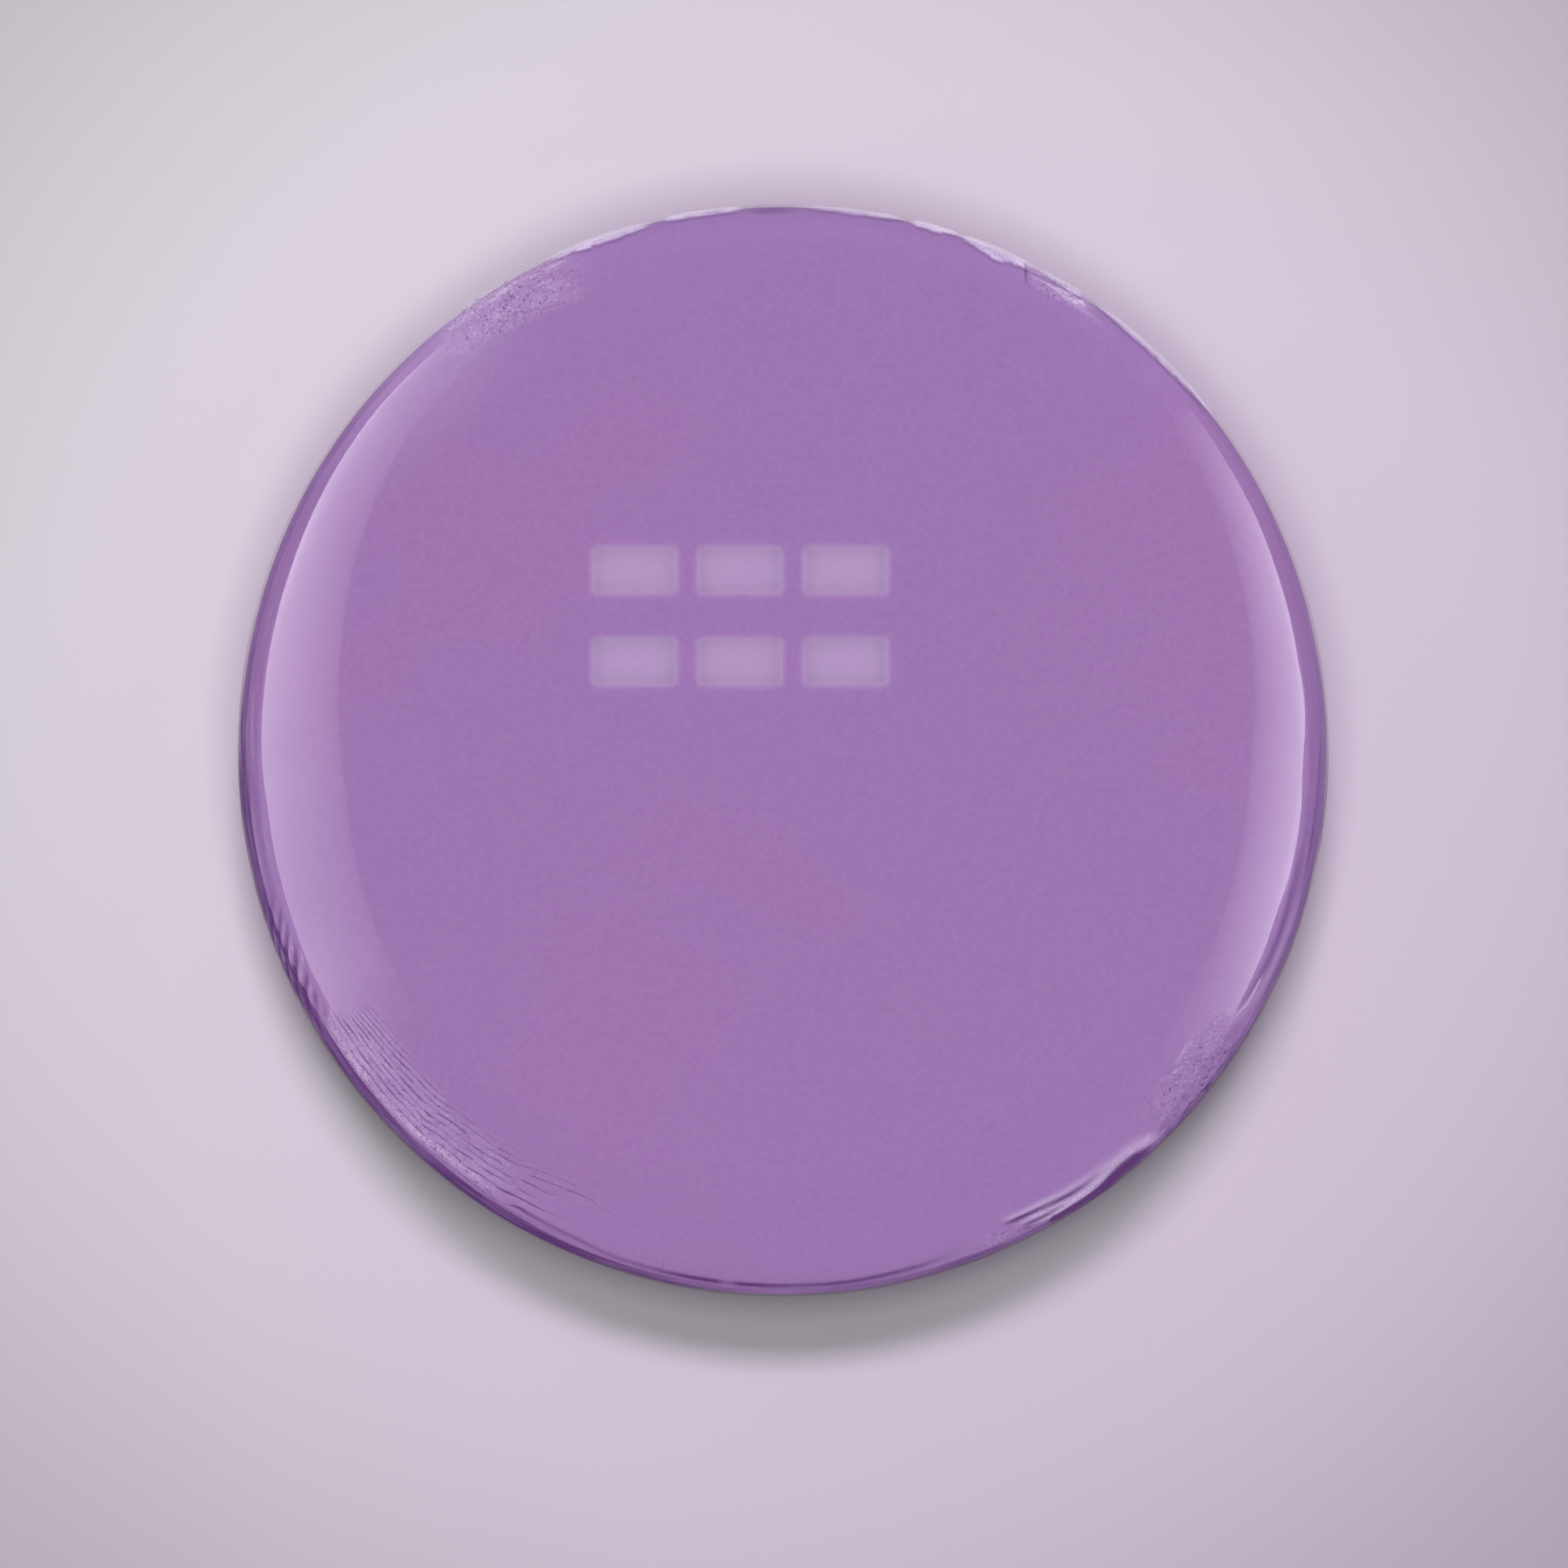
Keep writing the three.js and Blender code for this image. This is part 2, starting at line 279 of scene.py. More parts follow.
# ------------------------------------------------------------------ the film's relief
def film_fields(theta, u, x, y, z):
    """Relief of the front web in mm off its resting place, and its masks on flat arrays: the film's milkiness with
    painted highlights and glints, painted shade, and crinkle.
    """
    x0, y0, r0 = x, y, np.hypot(x, y)
    k = (EYE - (TOP - FACE_B)) / (EYE - np.maximum(z, TOP - FACE_B))
    x, y = x * k, y * k
    r = np.hypot(x, y)
    f = r / RIM
    zero = np.zeros_like(x)
    d = zero.copy()
    haze_and_sheen = zero.copy()
    painted_shade = zero.copy()
    crinkle = zero.copy()
    shoulder = step(U_FLAT - 1.0, U_FLAT + 3.0, u)
    steep = step(U_FLAT + 6.5, U_FLAT + 9.5, u)
    wall = step(U_WALL - 2.0, U_WALL + 1.0, u)
    upper = step(U_WALL + 2.2, U_WALL + 0.2, u)  # 1 on the face side, 0 down the wall

    def around(pairs):
        """A smooth quantity given at angles round the rim."""
        a, v = zip(*pairs)
        return np.interp(np.asarray(theta) % 360.0, a, v, period=360.0)

    # slack: long soft swells on the shoulder, so that no reflection runs perfectly true
    d += shoulder * 0.016 * fbm(x / 9.0, y / 9.0, u / 7.0, 1.0, 2)
    d += steep * 0.020 * vnoise(x / 5.0, y / 5.0, u / 1.3, 2.0)

    # fine pull lines running round the rim where the film turns down the wall, with painted shade and painted highlight
    # streaks along them
    side = np.maximum(bump(turn(theta, 180), 0, 40), bump(turn(theta, 350), 0, 42))
    pulls = vnoise(x / 7.0, y / 7.0, u / 0.60, 3.0) + 0.6 * vnoise(x / 4.5, y / 4.5, u / 0.30, 4.0)
    d += (0.20 + 0.80 * side) * steep * 0.026 * pulls
    painted_shade += steep * side * upper * 0.34 * step(0.25, 0.85, vnoise(x / 8.0, y / 8.0, u / 0.55, 5.0)) * step(0.95, 0.97, f)
    haze_and_sheen += steep * side * upper * 0.16 * step(0.35, 0.9, vnoise(x / 8.0, y / 8.0, u / 0.50, 6.0)) * step(0.95, 0.97, f)

    # the edge band: painted shade, a darker band along the rim where the film turns down
    edge_shade = around([(0, 0.14), (20, 0.14), (40, 0.12), (52, 0.0), (88.5, 0.0), (90, 0.24), (92.5, 0.24), (94, 0.0), (128, 0.0), (138, 0.22), (150, 0.28), (165, 0.34),
                    (180, 0.54), (195, 0.60), (208, 0.66), (225, 0.62), (242, 0.90), (252, 0.74), (262, 0.40),
                    (270, 0.16), (280, 0.38), (290, 0.50), (300, 0.44), (315, 0.36), (330, 0.36), (345, 0.44)])
    from_r = around([(0, 0.986), (165, 0.986), (180, 0.984), (200, 0.981), (208, 0.979), (216, 0.9785), (228, 0.9790), (240, 0.9805),
                     (250, 0.9835), (262, 0.9855), (290, 0.984), (300, 0.9845), (330, 0.986), (345, 0.987)])
    grainy = 0.92 + 0.25 * vnoise(x / 2.2, y / 2.2, u / 0.4, 7.0)
    band = step(-0.0018, 0.0018, f - from_r) * (1 - 0.8 * step(0.9950, 0.9985, f)) * (1 - step(U_WALL - 0.4, U_WALL + 1.0, u))
    painted_shade += 1.30 * edge_shade * grainy * band
    # and a paler painted shade just inside
    shade = around([(0, 0.24), (25, 0.14), (45, 0.0), (135, 0.0), (150, 0.20), (165, 0.26), (185, 0.26), (205, 0.18), (225, 0.0),
                    (300, 0.0), (325, 0.12), (345, 0.24)])
    painted_shade += shade * step(0.958, 0.966, f) * (1 - step(0.985, 0.990, f)) * (u < U_WALL + 0.8)

    # the wall: shallow upright shrink pleats, stronger towards the corners of the bag
    corner = zero.copy()
    for e in EARS:
        corner = np.maximum(corner, bump(turn(theta, e), 0, 24))
    pleat = np.zeros_like(x)
    low = step(U_WALL - 0.5, U_SEAM, u)
    for wave, amp, seed in ((1.9, 0.6, 11.0), (0.95, 0.4, 12.0)):
        phase = 2.2 * vnoise(x / 6.0, y / 6.0, z / 7.0, seed)
        pleat += amp * np.sin(np.round(2 * math.pi * RIM / wave) * theta * DEG + phase * 2.0)
    d += wall * (0.012 + 0.075 * corner * low) * pleat * (0.6 + 0.4 * vnoise(x / 4, y / 4, z / 9, 13.0))
    d += wall * 0.05 * fbm(x / 8.0, y / 8.0, z / 5.0, 14.0, 2)
    haze_and_sheen += wall * (1 - upper) * corner * 0.10 * step(0.1, 0.9, fbm(x / 1.6, y / 1.6, z / 5.0, 15.0, 2))

    # lower left corner: a fan of creases inside a ledge, running with the rim and flaring inwards
    ledge = polar((209, 0.973), (212, 0.9735), (218, 0.9735), (225, 0.9740), (229, 0.9690), (235, 0.9680), (238, 0.9720), (243, 0.9715), (249, 0.9760))
    dist, place = along(x, y, ledge, 6.0)
    v = -dist
    spread = np.interp(place, [0, 0.13, 0.4, 0.6, 0.72, 0.9, 1.0], [1.9, 2.3, 2.9, 3.2, 3.6, 4.4, 5.2])
    fan_n = 8.0 * v / spread + 0.55 * vnoise(place * 6.0, v / 1.6, 0, 21.0) + 0.18 * vnoise(place * 22.0, v / 0.8, 0, 22.0)
    edge_in = around([(205, 0.880), (213, 0.890), (218, 0.886), (225, 0.888), (229, 0.896), (238, 0.902), (243, 0.915), (247, 0.935), (253, 0.95)])
    inside = step(-0.010, 0.010, f - edge_in + 0.008 * vnoise(x / 1.3, y / 1.3, 0, 26.0))
    start = step(0.05, 0.15, place + 0.05 * vnoise(0, v / 0.5, 0, 29.0))
    finish = 1 - step(0.80, 0.97, place + 0.10 * vnoise(0, v / 0.45, 0, 30.0))
    near = (dist < 5.5) * 1.0
    fan = near * start * finish * inside * step(-0.1, 0.25, v) * upper
    d += fan * 0.034 * np.cos(2 * math.pi * fan_n) + fan * 0.05 * vnoise(place * 9.0, v / 0.9, 0, 23.0)
    crinkle += fan * 0.50 * (1 - 0.6 * step(0.60, 0.80, place))
    # the fan is painted paler: partly the crumpled film's own milkiness, partly painted sheen
    haze_and_sheen += fan * (0.062 + 0.05 * step(2.2, 0.7, v)) * (1 - 0.75 * step(0.56, 0.76, place)) * (0.9 + 0.6 * vnoise(place * 12.0, v / 0.6, 0, 28.0))
    tail = near * step(0.38, 0.60, place) * finish * step(0.868, 0.890, f) * (1 - inside) * upper
    fan = np.clip(fan + 0.60 * tail, 0, 1)
    crinkle += 0.25 * tail

    # the ledge itself: it stands proud, and a painted highlight runs along it
    e = taper(place, 0.12, 0.22) * upper * near
    d += e * 0.15 * np.exp(-((dist + 0.02) / np.where(dist > -0.02, 0.20, 0.60)) ** 2)
    lit = e * np.exp(-((dist + 0.17) / 0.25) ** 2) * (1 - 0.85 * step(0.56, 0.74, place))
    haze_and_sheen += lit * 0.12 * (0.8 + 0.5 * vnoise(x / 0.8, y / 0.8, 0, 24.0))
    crinkle += lit * 0.7
    # and a thin line of painted shade behind it
    painted_shade += e * 0.42 * np.exp(-((dist - 0.16) / 0.10) ** 2)
    # a second groove under it, towards the bottom, with painted shade in it
    dist, place = along(x, y, polar((236, 0.9640), (241, 0.9650), (246, 0.9690), (251, 0.9730)))
    e = taper(place, 0.4, 0.3) * upper
    painted_shade += e * 0.60 * np.exp(-(dist / 0.13) ** 2)
    d -= e * 0.05 * np.exp(-(dist / 0.2) ** 2)

    # left rim: feathered slanting pleats above that corner, with a painted highlight on one side of each and painted
    # shade on the other
    zone = bump(turn(theta, 203.5), 0, 9.5) * step(0.955, 0.972, f) * upper
    slant = np.sin(2 * math.pi * (theta * DEG * RIM * 0.66 - u * 0.80) / 1.00 + 1.4 * vnoise(x / 2, y / 2, u / 2, 31.0))
    d += zone * 0.050 * slant
    painted_shade += zone * 0.62 * step(0.20, 0.95, -slant)
    haze_and_sheen += zone * 0.30 * step(0.40, 1.0, slant)

    # lower right corner: one long pinched fold with a groove on each side; a painted highlight lies along the fold and
    # its ridges, and painted shade in the grooves
    fold = polar((296.8, 0.978), (298.6, 0.977), (302.4, 0.976), (305.7, 0.9765), (308.2, 0.970), (311.1, 0.969), (313.4, 0.9776), (315.5, 0.985))
    dist, place = along(x, y, fold)
    e = taper(place, 0.25, 0.20) * upper
    d += e * 0.24 * np.exp(-((dist) / np.where(dist > 0, 0.22, 0.42)) ** 2)
    haze_and_sheen += e * 0.44 * np.exp(-((dist + 0.09) / 0.34) ** 2) * (1 - 0.35 * step(0.6, 0.85, place))
    crinkle -= e * 0.3 * np.exp(-((dist) / 0.5) ** 2)
    under = polar((299.2, 0.9865), (301.0, 0.9870), (303.4, 0.9872), (306.1, 0.9850), (309.2, 0.9790), (311.8, 0.9850), (314.0, 0.992))
    dist, place = along(x, y, under)
    e = taper(place, 0.15, 0.3) * upper
    painted_shade += e * 1.15 * np.exp(-((dist - 0.02) / (0.20 + 0.24 * bump(place, 0.68, 0.40))) ** 2)
    second = polar((294.6, 0.9470), (295.8, 0.9487), (299.4, 0.952), (303.2, 0.956), (306.7, 0.9556), (310.5, 0.948))
    dist, place = along(x, y, second)
    e = taper(place, 0.30, 0.5) * upper
    d += e * 0.085 * np.exp(-((dist) / np.where(dist > 0, 0.14, 0.45)) ** 2)
    haze_and_sheen += e * 0.30 * np.exp(-((dist) / 0.20) ** 2)
    painted_shade += e * 0.95 * np.exp(-((dist - 0.27) / 0.15) ** 2) * (1 - step(0.6, 0.95, place))
    third = polar((295.8, 0.9700), (297.6, 0.9660), (300.5, 0.9640), (303.0, 0.9655))
    dist, place = along(x, y, third)
    e = taper(place, 0.4, 0.5) * upper
    haze_and_sheen += e * 0.30 * np.exp(-((dist) / 0.17) ** 2)
    painted_shade += e * 0.90 * np.exp(-((dist - 0.26) / 0.13) ** 2)
    # a small nick at the end of the groove, and a broken crease leading to it, both only painted shade
    dist, place = along(x, y, [(17.25, -30.40), (17.42, -30.05), (17.40, -29.70)], 1.2)
    painted_shade += taper(place, 0.2, 0.2) * 1.0 * np.exp(-((dist) / 0.12) ** 2)
    dist, place = along(x, y, polar((295.4, 0.9790), (296.2, 0.9797), (298.0, 0.9805), (299.6, 0.983)), 1.2)
    painted_shade += taper(place, 0.2, 0.1) * 0.7 * np.exp(-((dist) / 0.07) ** 2) * step(-0.3, 0.3, vnoise(theta * 3.0, 0, 0, 42.0))
    zone = bump(turn(theta, 293.5), 0, 4.0) * step(0.955, 0.968, f) * (1 - step(0.985, 0.995, f)) * upper
    crinkle += zone * 0.9

    # stippled crinkle beyond it, up to the end of the right band, with painted shade in its pits and painted highlights
    # on two short streaks
    zone = np.sqrt(bump(turn(theta, 321.5), 0, 8.5)) * step(0.900, 0.940, f) * (1 - step(0.99, 1.0, f)) * upper
    crinkle += zone * 1.15
    d += zone * 0.030 * fbm(x / 0.75, y / 0.75, u / 0.75, 41.0, 2)
    painted_shade += zone * (0.09 + 0.13 * step(0.15, 0.6, vnoise(x / 0.3, y / 0.3, u / 0.2, 44.0)) + 0.34 * step(0.962, 0.980, f) * step(0.1, 0.5, vnoise(x / 0.5, y / 0.5, u / 0.3, 43.0)))
    for pts in (polar((320.8, 0.920), (322.6, 0.9155), (325.4, 0.912)), polar((319.6, 0.9250), (320.6, 0.9262), (321.6, 0.9275))):
        dist, place = along(x, y, pts)
        e = taper(place, 0.4, 0.4)
        d += e * 0.04 * np.exp(-((dist) / 0.14) ** 2)
        haze_and_sheen += e * 0.22 * np.exp(-((dist) / 0.09) ** 2)

    # the right band's outer edge doubles into a second pull line below, with a painted highlight on it and a line of
    # painted shade under it
    dist, place = along(x, y, polar((327.0, 0.958), (331.0, 0.970), (336.0, 0.976), (342.0, 0.980), (349.0, 0.984)))
    e = taper(place, 0.3, 0.4) * upper
    d += e * 0.060 * np.exp(-((dist) / 0.24) ** 2)
    haze_and_sheen += e * 0.16 * np.exp(-((dist) / 0.20) ** 2)
    dist, place = along(x, y, polar((329.0, 0.955), (333.0, 0.963), (338.0, 0.968), (345.0, 0.966), (352, 0.968)))
    e = taper(place, 0.3, 0.3) * upper
    painted_shade += e * 0.34 * np.exp(-((dist) / 0.20) ** 2)

    # bottom rim: a long low groove, broken once, with painted shade in it
    dist, place = along(x, y, polar((246, 0.974), (252, 0.9765), (258, 0.978), (264.0, 0.979), (270, 0.9795), (277, 0.979), (284, 0.976), (290, 0.970)))
    e = taper(place, 0.15, 0.15) * (0.75 + 0.5 * vnoise(x / 6.0, y / 6.0, 0, 51.0)) * upper
    e = e * (1 - 0.9 * bump(turn(theta, 264.0), 0, 0.8))
    d -= e * 0.05 * np.exp(-((dist) / 0.28) ** 2)
    d += e * 0.05 * np.exp(-((dist + 0.5) / 0.30) ** 2)
    painted_shade += e * 1.40 * np.exp(-((dist) / 0.16) ** 2)

    # upper left corner: crinkle running with the rim, painted paler, partly the crumpled film's own milkiness and
    # partly painted sheen
    zone = bump(turn(theta, 121.5), 0, 10.0) * step(0.905, 0.950, f + 0.02 * vnoise(x / 2, y / 2, 0, 61.0)) * upper
    zone = np.sqrt(zone)
    crinkle += zone * 1.1
    streak = vnoise(x / 2.4, y / 2.4, u / 0.30, 62.0)
    d += zone * 0.024 * (streak + 0.8 * fbm(x / 0.7, y / 0.7, u / 0.35, 63.0, 2))
    haze_and_sheen += zone * (0.03 + 0.08 * step(0.05, 0.8, streak) + 0.13 * step(0.972, 0.986, f))
    # a painted white glint along the very edge of it
    dist, place = along(x, y, polar((112.0, 0.9870), (117.5, 0.9850), (121.5, 0.9880), (126.0, 0.9840), (130.0, 0.9870)))
    e = taper(place, 0.15, 0.25) * upper * step(-0.5, 0.3, vnoise(theta * 0.9, 0, 0, 67.0))
    haze_and_sheen += e * 0.24 * np.exp(-(dist / 0.12) ** 2) * (0.6 + 0.8 * vnoise(x / 0.7, y / 0.7, 0, 68.0))
    # a wide faint painted sheen reaching down the shoulder from it
    zone = bump(turn(theta, 134.0), 0, 17.0) * step(0.80, 0.93, f) * upper
    haze_and_sheen += zone * 0.07

    # upper right corner: a shorter one, with painted glints on its streaks and painted shade between them
    zone = bump(turn(theta, 59.0), 0, 6.5) * step(0.955, 0.980, f + 0.012 * vnoise(x / 1.5, y / 1.5, 0, 65.0)) * upper
    crinkle += zone
    streak = vnoise(x / 2.4, y / 2.4, u / 0.28, 66.0)
    d += zone * 0.035 * streak
    haze_and_sheen += zone * (0.08 + 0.34 * step(0.0, 0.7, streak))
    painted_shade += zone * 0.30 * step(0.2, 0.8, -streak)
    wisp, wpl = along(x, y, polar((57.2, 0.9770), (56.6, 0.985), (55.9, 1.0)), 1.5)
    haze_and_sheen += taper(wpl, 0.3, 0.1) * 0.5 * np.exp(-((wisp) / 0.10) ** 2) * upper
    # a short crease pointing at the middle, drawn with painted shade
    tick, tpl = along(x, y, [(15.62, 31.50), (15.66, 30.8), (15.70, 30.0)], 1.2)
    painted_shade += taper(tpl, 0.05, 0.3) * 0.58 * np.exp(-((tick) / 0.095) ** 2) * upper
    d -= taper(tpl, 0.15, 0.5) * 0.05 * np.exp(-((tick) / 0.15) ** 2)

    # top rim: the slack edge stands off the cake in flat lips, with a notch between two of them; the lips are painted
    # whiter, partly the lifted film's own milkiness and partly painted glint
    for a0, a1, width, high, milk_and_glint in (
        (103.4, 116.2, 0.46, 0.075, 0.74),
        (93.8, 103.4, 0.36, 0.065, 0.74),
        (76.6, 88.6, 0.34, 0.045, 0.55),
        (70.8, 76.8, 0.42, 0.09, 0.95),
        (62.4, 71.8, 0.62, 0.09, 0.76),
        (56.2, 62.3, 0.34, 0.045, 0.50),
        (36.5, 56.0, 0.32, 0.045, 0.48),
    ):
        mid, half = (a0 + a1) / 2, (a1 - a0) / 2
        q = turn(theta, mid) / half
        run = (1 - step(0.62, 1.0, np.abs(q))) * (0.90 + 0.22 * vnoise(x / 1.4, y / 1.4, 0, 71.0 + mid))
        # the inner edge of each lip bows in and out a little
        rag = width * (0.25 + 0.95 * np.clip(1 - q * q, 0, 1) ** 0.7) * (1 + 0.30 * vnoise(theta * 0.55, 0, 0, 72.0) + 0.20 * vnoise(theta * 1.7, 0, 0, 73.0))
        inner = 34.98 - rag
        lip = step(inner - 0.10, inner + 0.15, r0) * (1 - step(U_WALL - 0.6, U_WALL + 2.0, u))
        d += run * lip * high
        soft = vnoise(x / 0.9, y / 0.9, u / 0.5, 74.0)
        # seen from the side a lip is a lens that thins out down the wall and towards its ends
        low = z - 1.7 * q * q + 0.55 * vnoise(theta * 0.7, 0, 0, 75.0) + 0.45 * vnoise(theta * 2.3, 0, 0, 76.0)
        foot = step(TOP - 6.1, TOP - 4.3, low) * (0.45 + 0.55 * step(TOP - 5.0, TOP - 3.4, z))
        haze_and_sheen += (np.abs(q) < 1) * run * milk_and_glint * step(inner - 0.05, inner + 0.07, r0) * foot * (0.90 + 0.24 * soft)
        # painted shade where the lip leaves the cake
        painted_shade += (np.abs(q) < 1) * run * 0.30 * np.exp(-((r0 - inner + 0.12) / 0.09) ** 2) * (u < U_WALL)

    # the face: the film bridges the pressed tiles
    for cx in (-1, 0, 1):
        for cy in (-0.5, 0.5):
            tx = np.abs(x0 - TILE_C[0] - cx * TILE_PX) - TILE_W / 2
            ty = np.abs(y0 - TILE_C[1] - cy * TILE_PY) - TILE_H / 2
            over = 1 - step(-0.9, 0.1, np.maximum(tx, ty))
            d -= 0.045 * over
    return d, np.clip(haze_and_sheen, 0, 1), np.clip(painted_shade, 0, 1), np.clip(crinkle, 0, 1.2), fan_n, fan


def angles():
    """Column angles in degrees, closer together at the corners of the bag."""
    edges = [
        (0, 38, 1.0), (38, 62.4, 0.50), (62.4, 64.1, 0.14), (64.1, 80, 0.48), (80, 100, 0.60), (100, 140, 0.46),
        (140, 184, 0.9), (184, 206, 0.42), (206, 250, 0.34), (250, 290, 0.80), (290, 332, 0.38), (332, 360, 0.9),
    ]
    out = []
    for a, b, s in edges:
        n = max(1, int(round((b - a) / s)))
        out.extend(a + (b - a) * i / n for i in range(n))
    return np.array(out)


def knots(spans):
    """Places along spans of (from, to, spacing), in either direction."""
    out = [spans[0][0]]
    for a, b, s in spans:
        n = max(1, int(round(abs(b - a) / s)))
        out.extend(a + (b - a) * (i + 1) / n for i in range(n))
    return np.array(out)


def web(name, spans, relief, inner_spans, end_on_axis):
    """A closed thin shell over part of the outline: a fine outer skin with its relief, and a
    plain inner skin. spans are in u, from the axis end to the free edge; inner_spans come back."""
    th = angles()
    cols = len(th)
    us = knots(spans)
    us = us[1:]  # the first one is on the axis
    T, U = np.meshgrid(th, us)
    r, z, nr, nz = at(U)
    ca, sa = np.cos(T * DEG), np.sin(T * DEG)
    X, Y = (r + nr * FILM_OUT) * ca, (r + nr * FILM_OUT) * sa
    Z = z + nz * FILM_OUT
    fr, fz = fuller(T, U)
    X, Y, Z = X + fr * ca, Y + fr * sa, Z + fz
    d, haze_and_sheen, painted_shade, crinkle, fan_n, fan = relief(T.ravel(), U.ravel(), X.ravel(), Y.ravel(), Z.ravel())
    d = np.maximum(d, FILM_IN + 0.02 - FILM_OUT).reshape(T.shape)
    # back to the plain offset along the free edge, so that the skins close
    P = np.stack([X + nr * d * ca, Y + nr * d * sa, Z + nz * d], axis=-1).reshape(-1, 3)
    inner_u = knots(inner_spans)[:-1]
    T2, U2 = np.meshgrid(th, inner_u)
    r2, z2, nr2, nz2 = at(U2)
    fr, fz = fuller(T2, U2)
    ri, zi = r2 + nr2 * FILM_IN + fr, z2 + nz2 * FILM_IN + fz
    Q = np.stack([ri * np.cos(T2 * DEG), ri * np.sin(T2 * DEG), zi], axis=-1).reshape(-1, 3)
    zs = 1.0 if end_on_axis == "top" else -1.0
    z_axis = TOP if end_on_axis == "top" else SOAP_Z
    verts = np.vstack([[0, 0, z_axis + zs * FILM_OUT], P, Q, [0, 0, z_axis + zs * FILM_IN]])
    rows_all = len(us) + len(inner_u)
    flip = end_on_axis != "top"
    faces = fan_faces(0, 1, cols, flip)
    faces += grid_faces(rows_all, cols, 1, flip)
    last = 1 + (rows_all - 1) * cols
    faces += fan_faces(len(verts) - 1, last, cols, not flip)
    obj = make_object(name, verts, faces)
    pad = lambda a, v=0.0: np.concatenate([[v], np.asarray(a).ravel(), np.full(len(Q) + 1, v)])
    attribute(obj, "haze_and_sheen", pad(haze_and_sheen))
    attribute(obj, "painted_shade", pad(painted_shade))
    attribute(obj, "crinkle", pad(crinkle))
    attribute(obj, "fan_n", pad(fan_n))
    attribute(obj, "fan", pad(fan))
    attribute(obj, "run", pad(U.ravel()))
    attribute(obj, "outer", np.concatenate([np.ones(1 + len(P)), np.zeros(len(Q) + 1)]))
    return obj


def front_relief(theta, u, x, y, z):
    d, haze_and_sheen, painted_shade, crinkle, fan_n, fan = film_fields(theta, u, x, y, z)
    ease = 1 - 0.85 * step(U_SEAM - 1.2, U_SEAM, u)
    return d * ease, haze_and_sheen, painted_shade, crinkle, fan_n, fan


def back_relief(theta, u, x, y, z):
    r = np.hypot(x, y)
    corner = np.zeros_like(x)
    for e in EARS:
        corner = np.maximum(corner, bump(turn(theta, e), 0, 26))
    rim = step(24.0, 33.0, r)
    pleat = np.sin(np.round(2 * math.pi * 30 / 1.7) * theta * DEG + 2.5 * vnoise(x / 6, y / 6, 0, 81.0))
    pleat += 0.6 * np.sin(np.round(2 * math.pi * 30 / 0.9) * theta * DEG + 2.5 * vnoise(x / 5, y / 5, 0, 82.0))
    d = rim * (0.015 + 0.075 * corner) * pleat
    d += 0.03 * fbm(x / 7, y / 7, 0, 83.0, 2) * step(22.5, 26.0, r)
    flat = step(U_BASE - 0.5, U_BASE + 1.5, u)
    d = np.where(u > U_BASE - 0.5, np.minimum(d, 0.02), d) * (1 - 0.8 * flat * (1 - step(22.3, 24.5, r)))
    ease = 1 - 0.85 * (1 - step(U_SEAM, U_SEAM + 1.0, u))
    # the corner pleats: a painted highlight on one side of each pleat and painted shade on the other
    haze_and_sheen = rim * corner * 0.22 * step(-0.2, 0.9, pleat)
    painted_shade = rim * corner * 0.25 * step(0.3, 1.0, -pleat)
    crinkle = rim * (0.3 + 0.6 * corner)
    zero = np.zeros_like(x)
    return d * ease, haze_and_sheen, painted_shade, crinkle, zero, zero


# ------------------------------------------------------------------------- materials
def nodes_of(name):
    m = bpy.data.materials.new(name)
    m.use_nodes = True
    nt = m.node_tree
    nt.nodes.clear()
    return m, nt


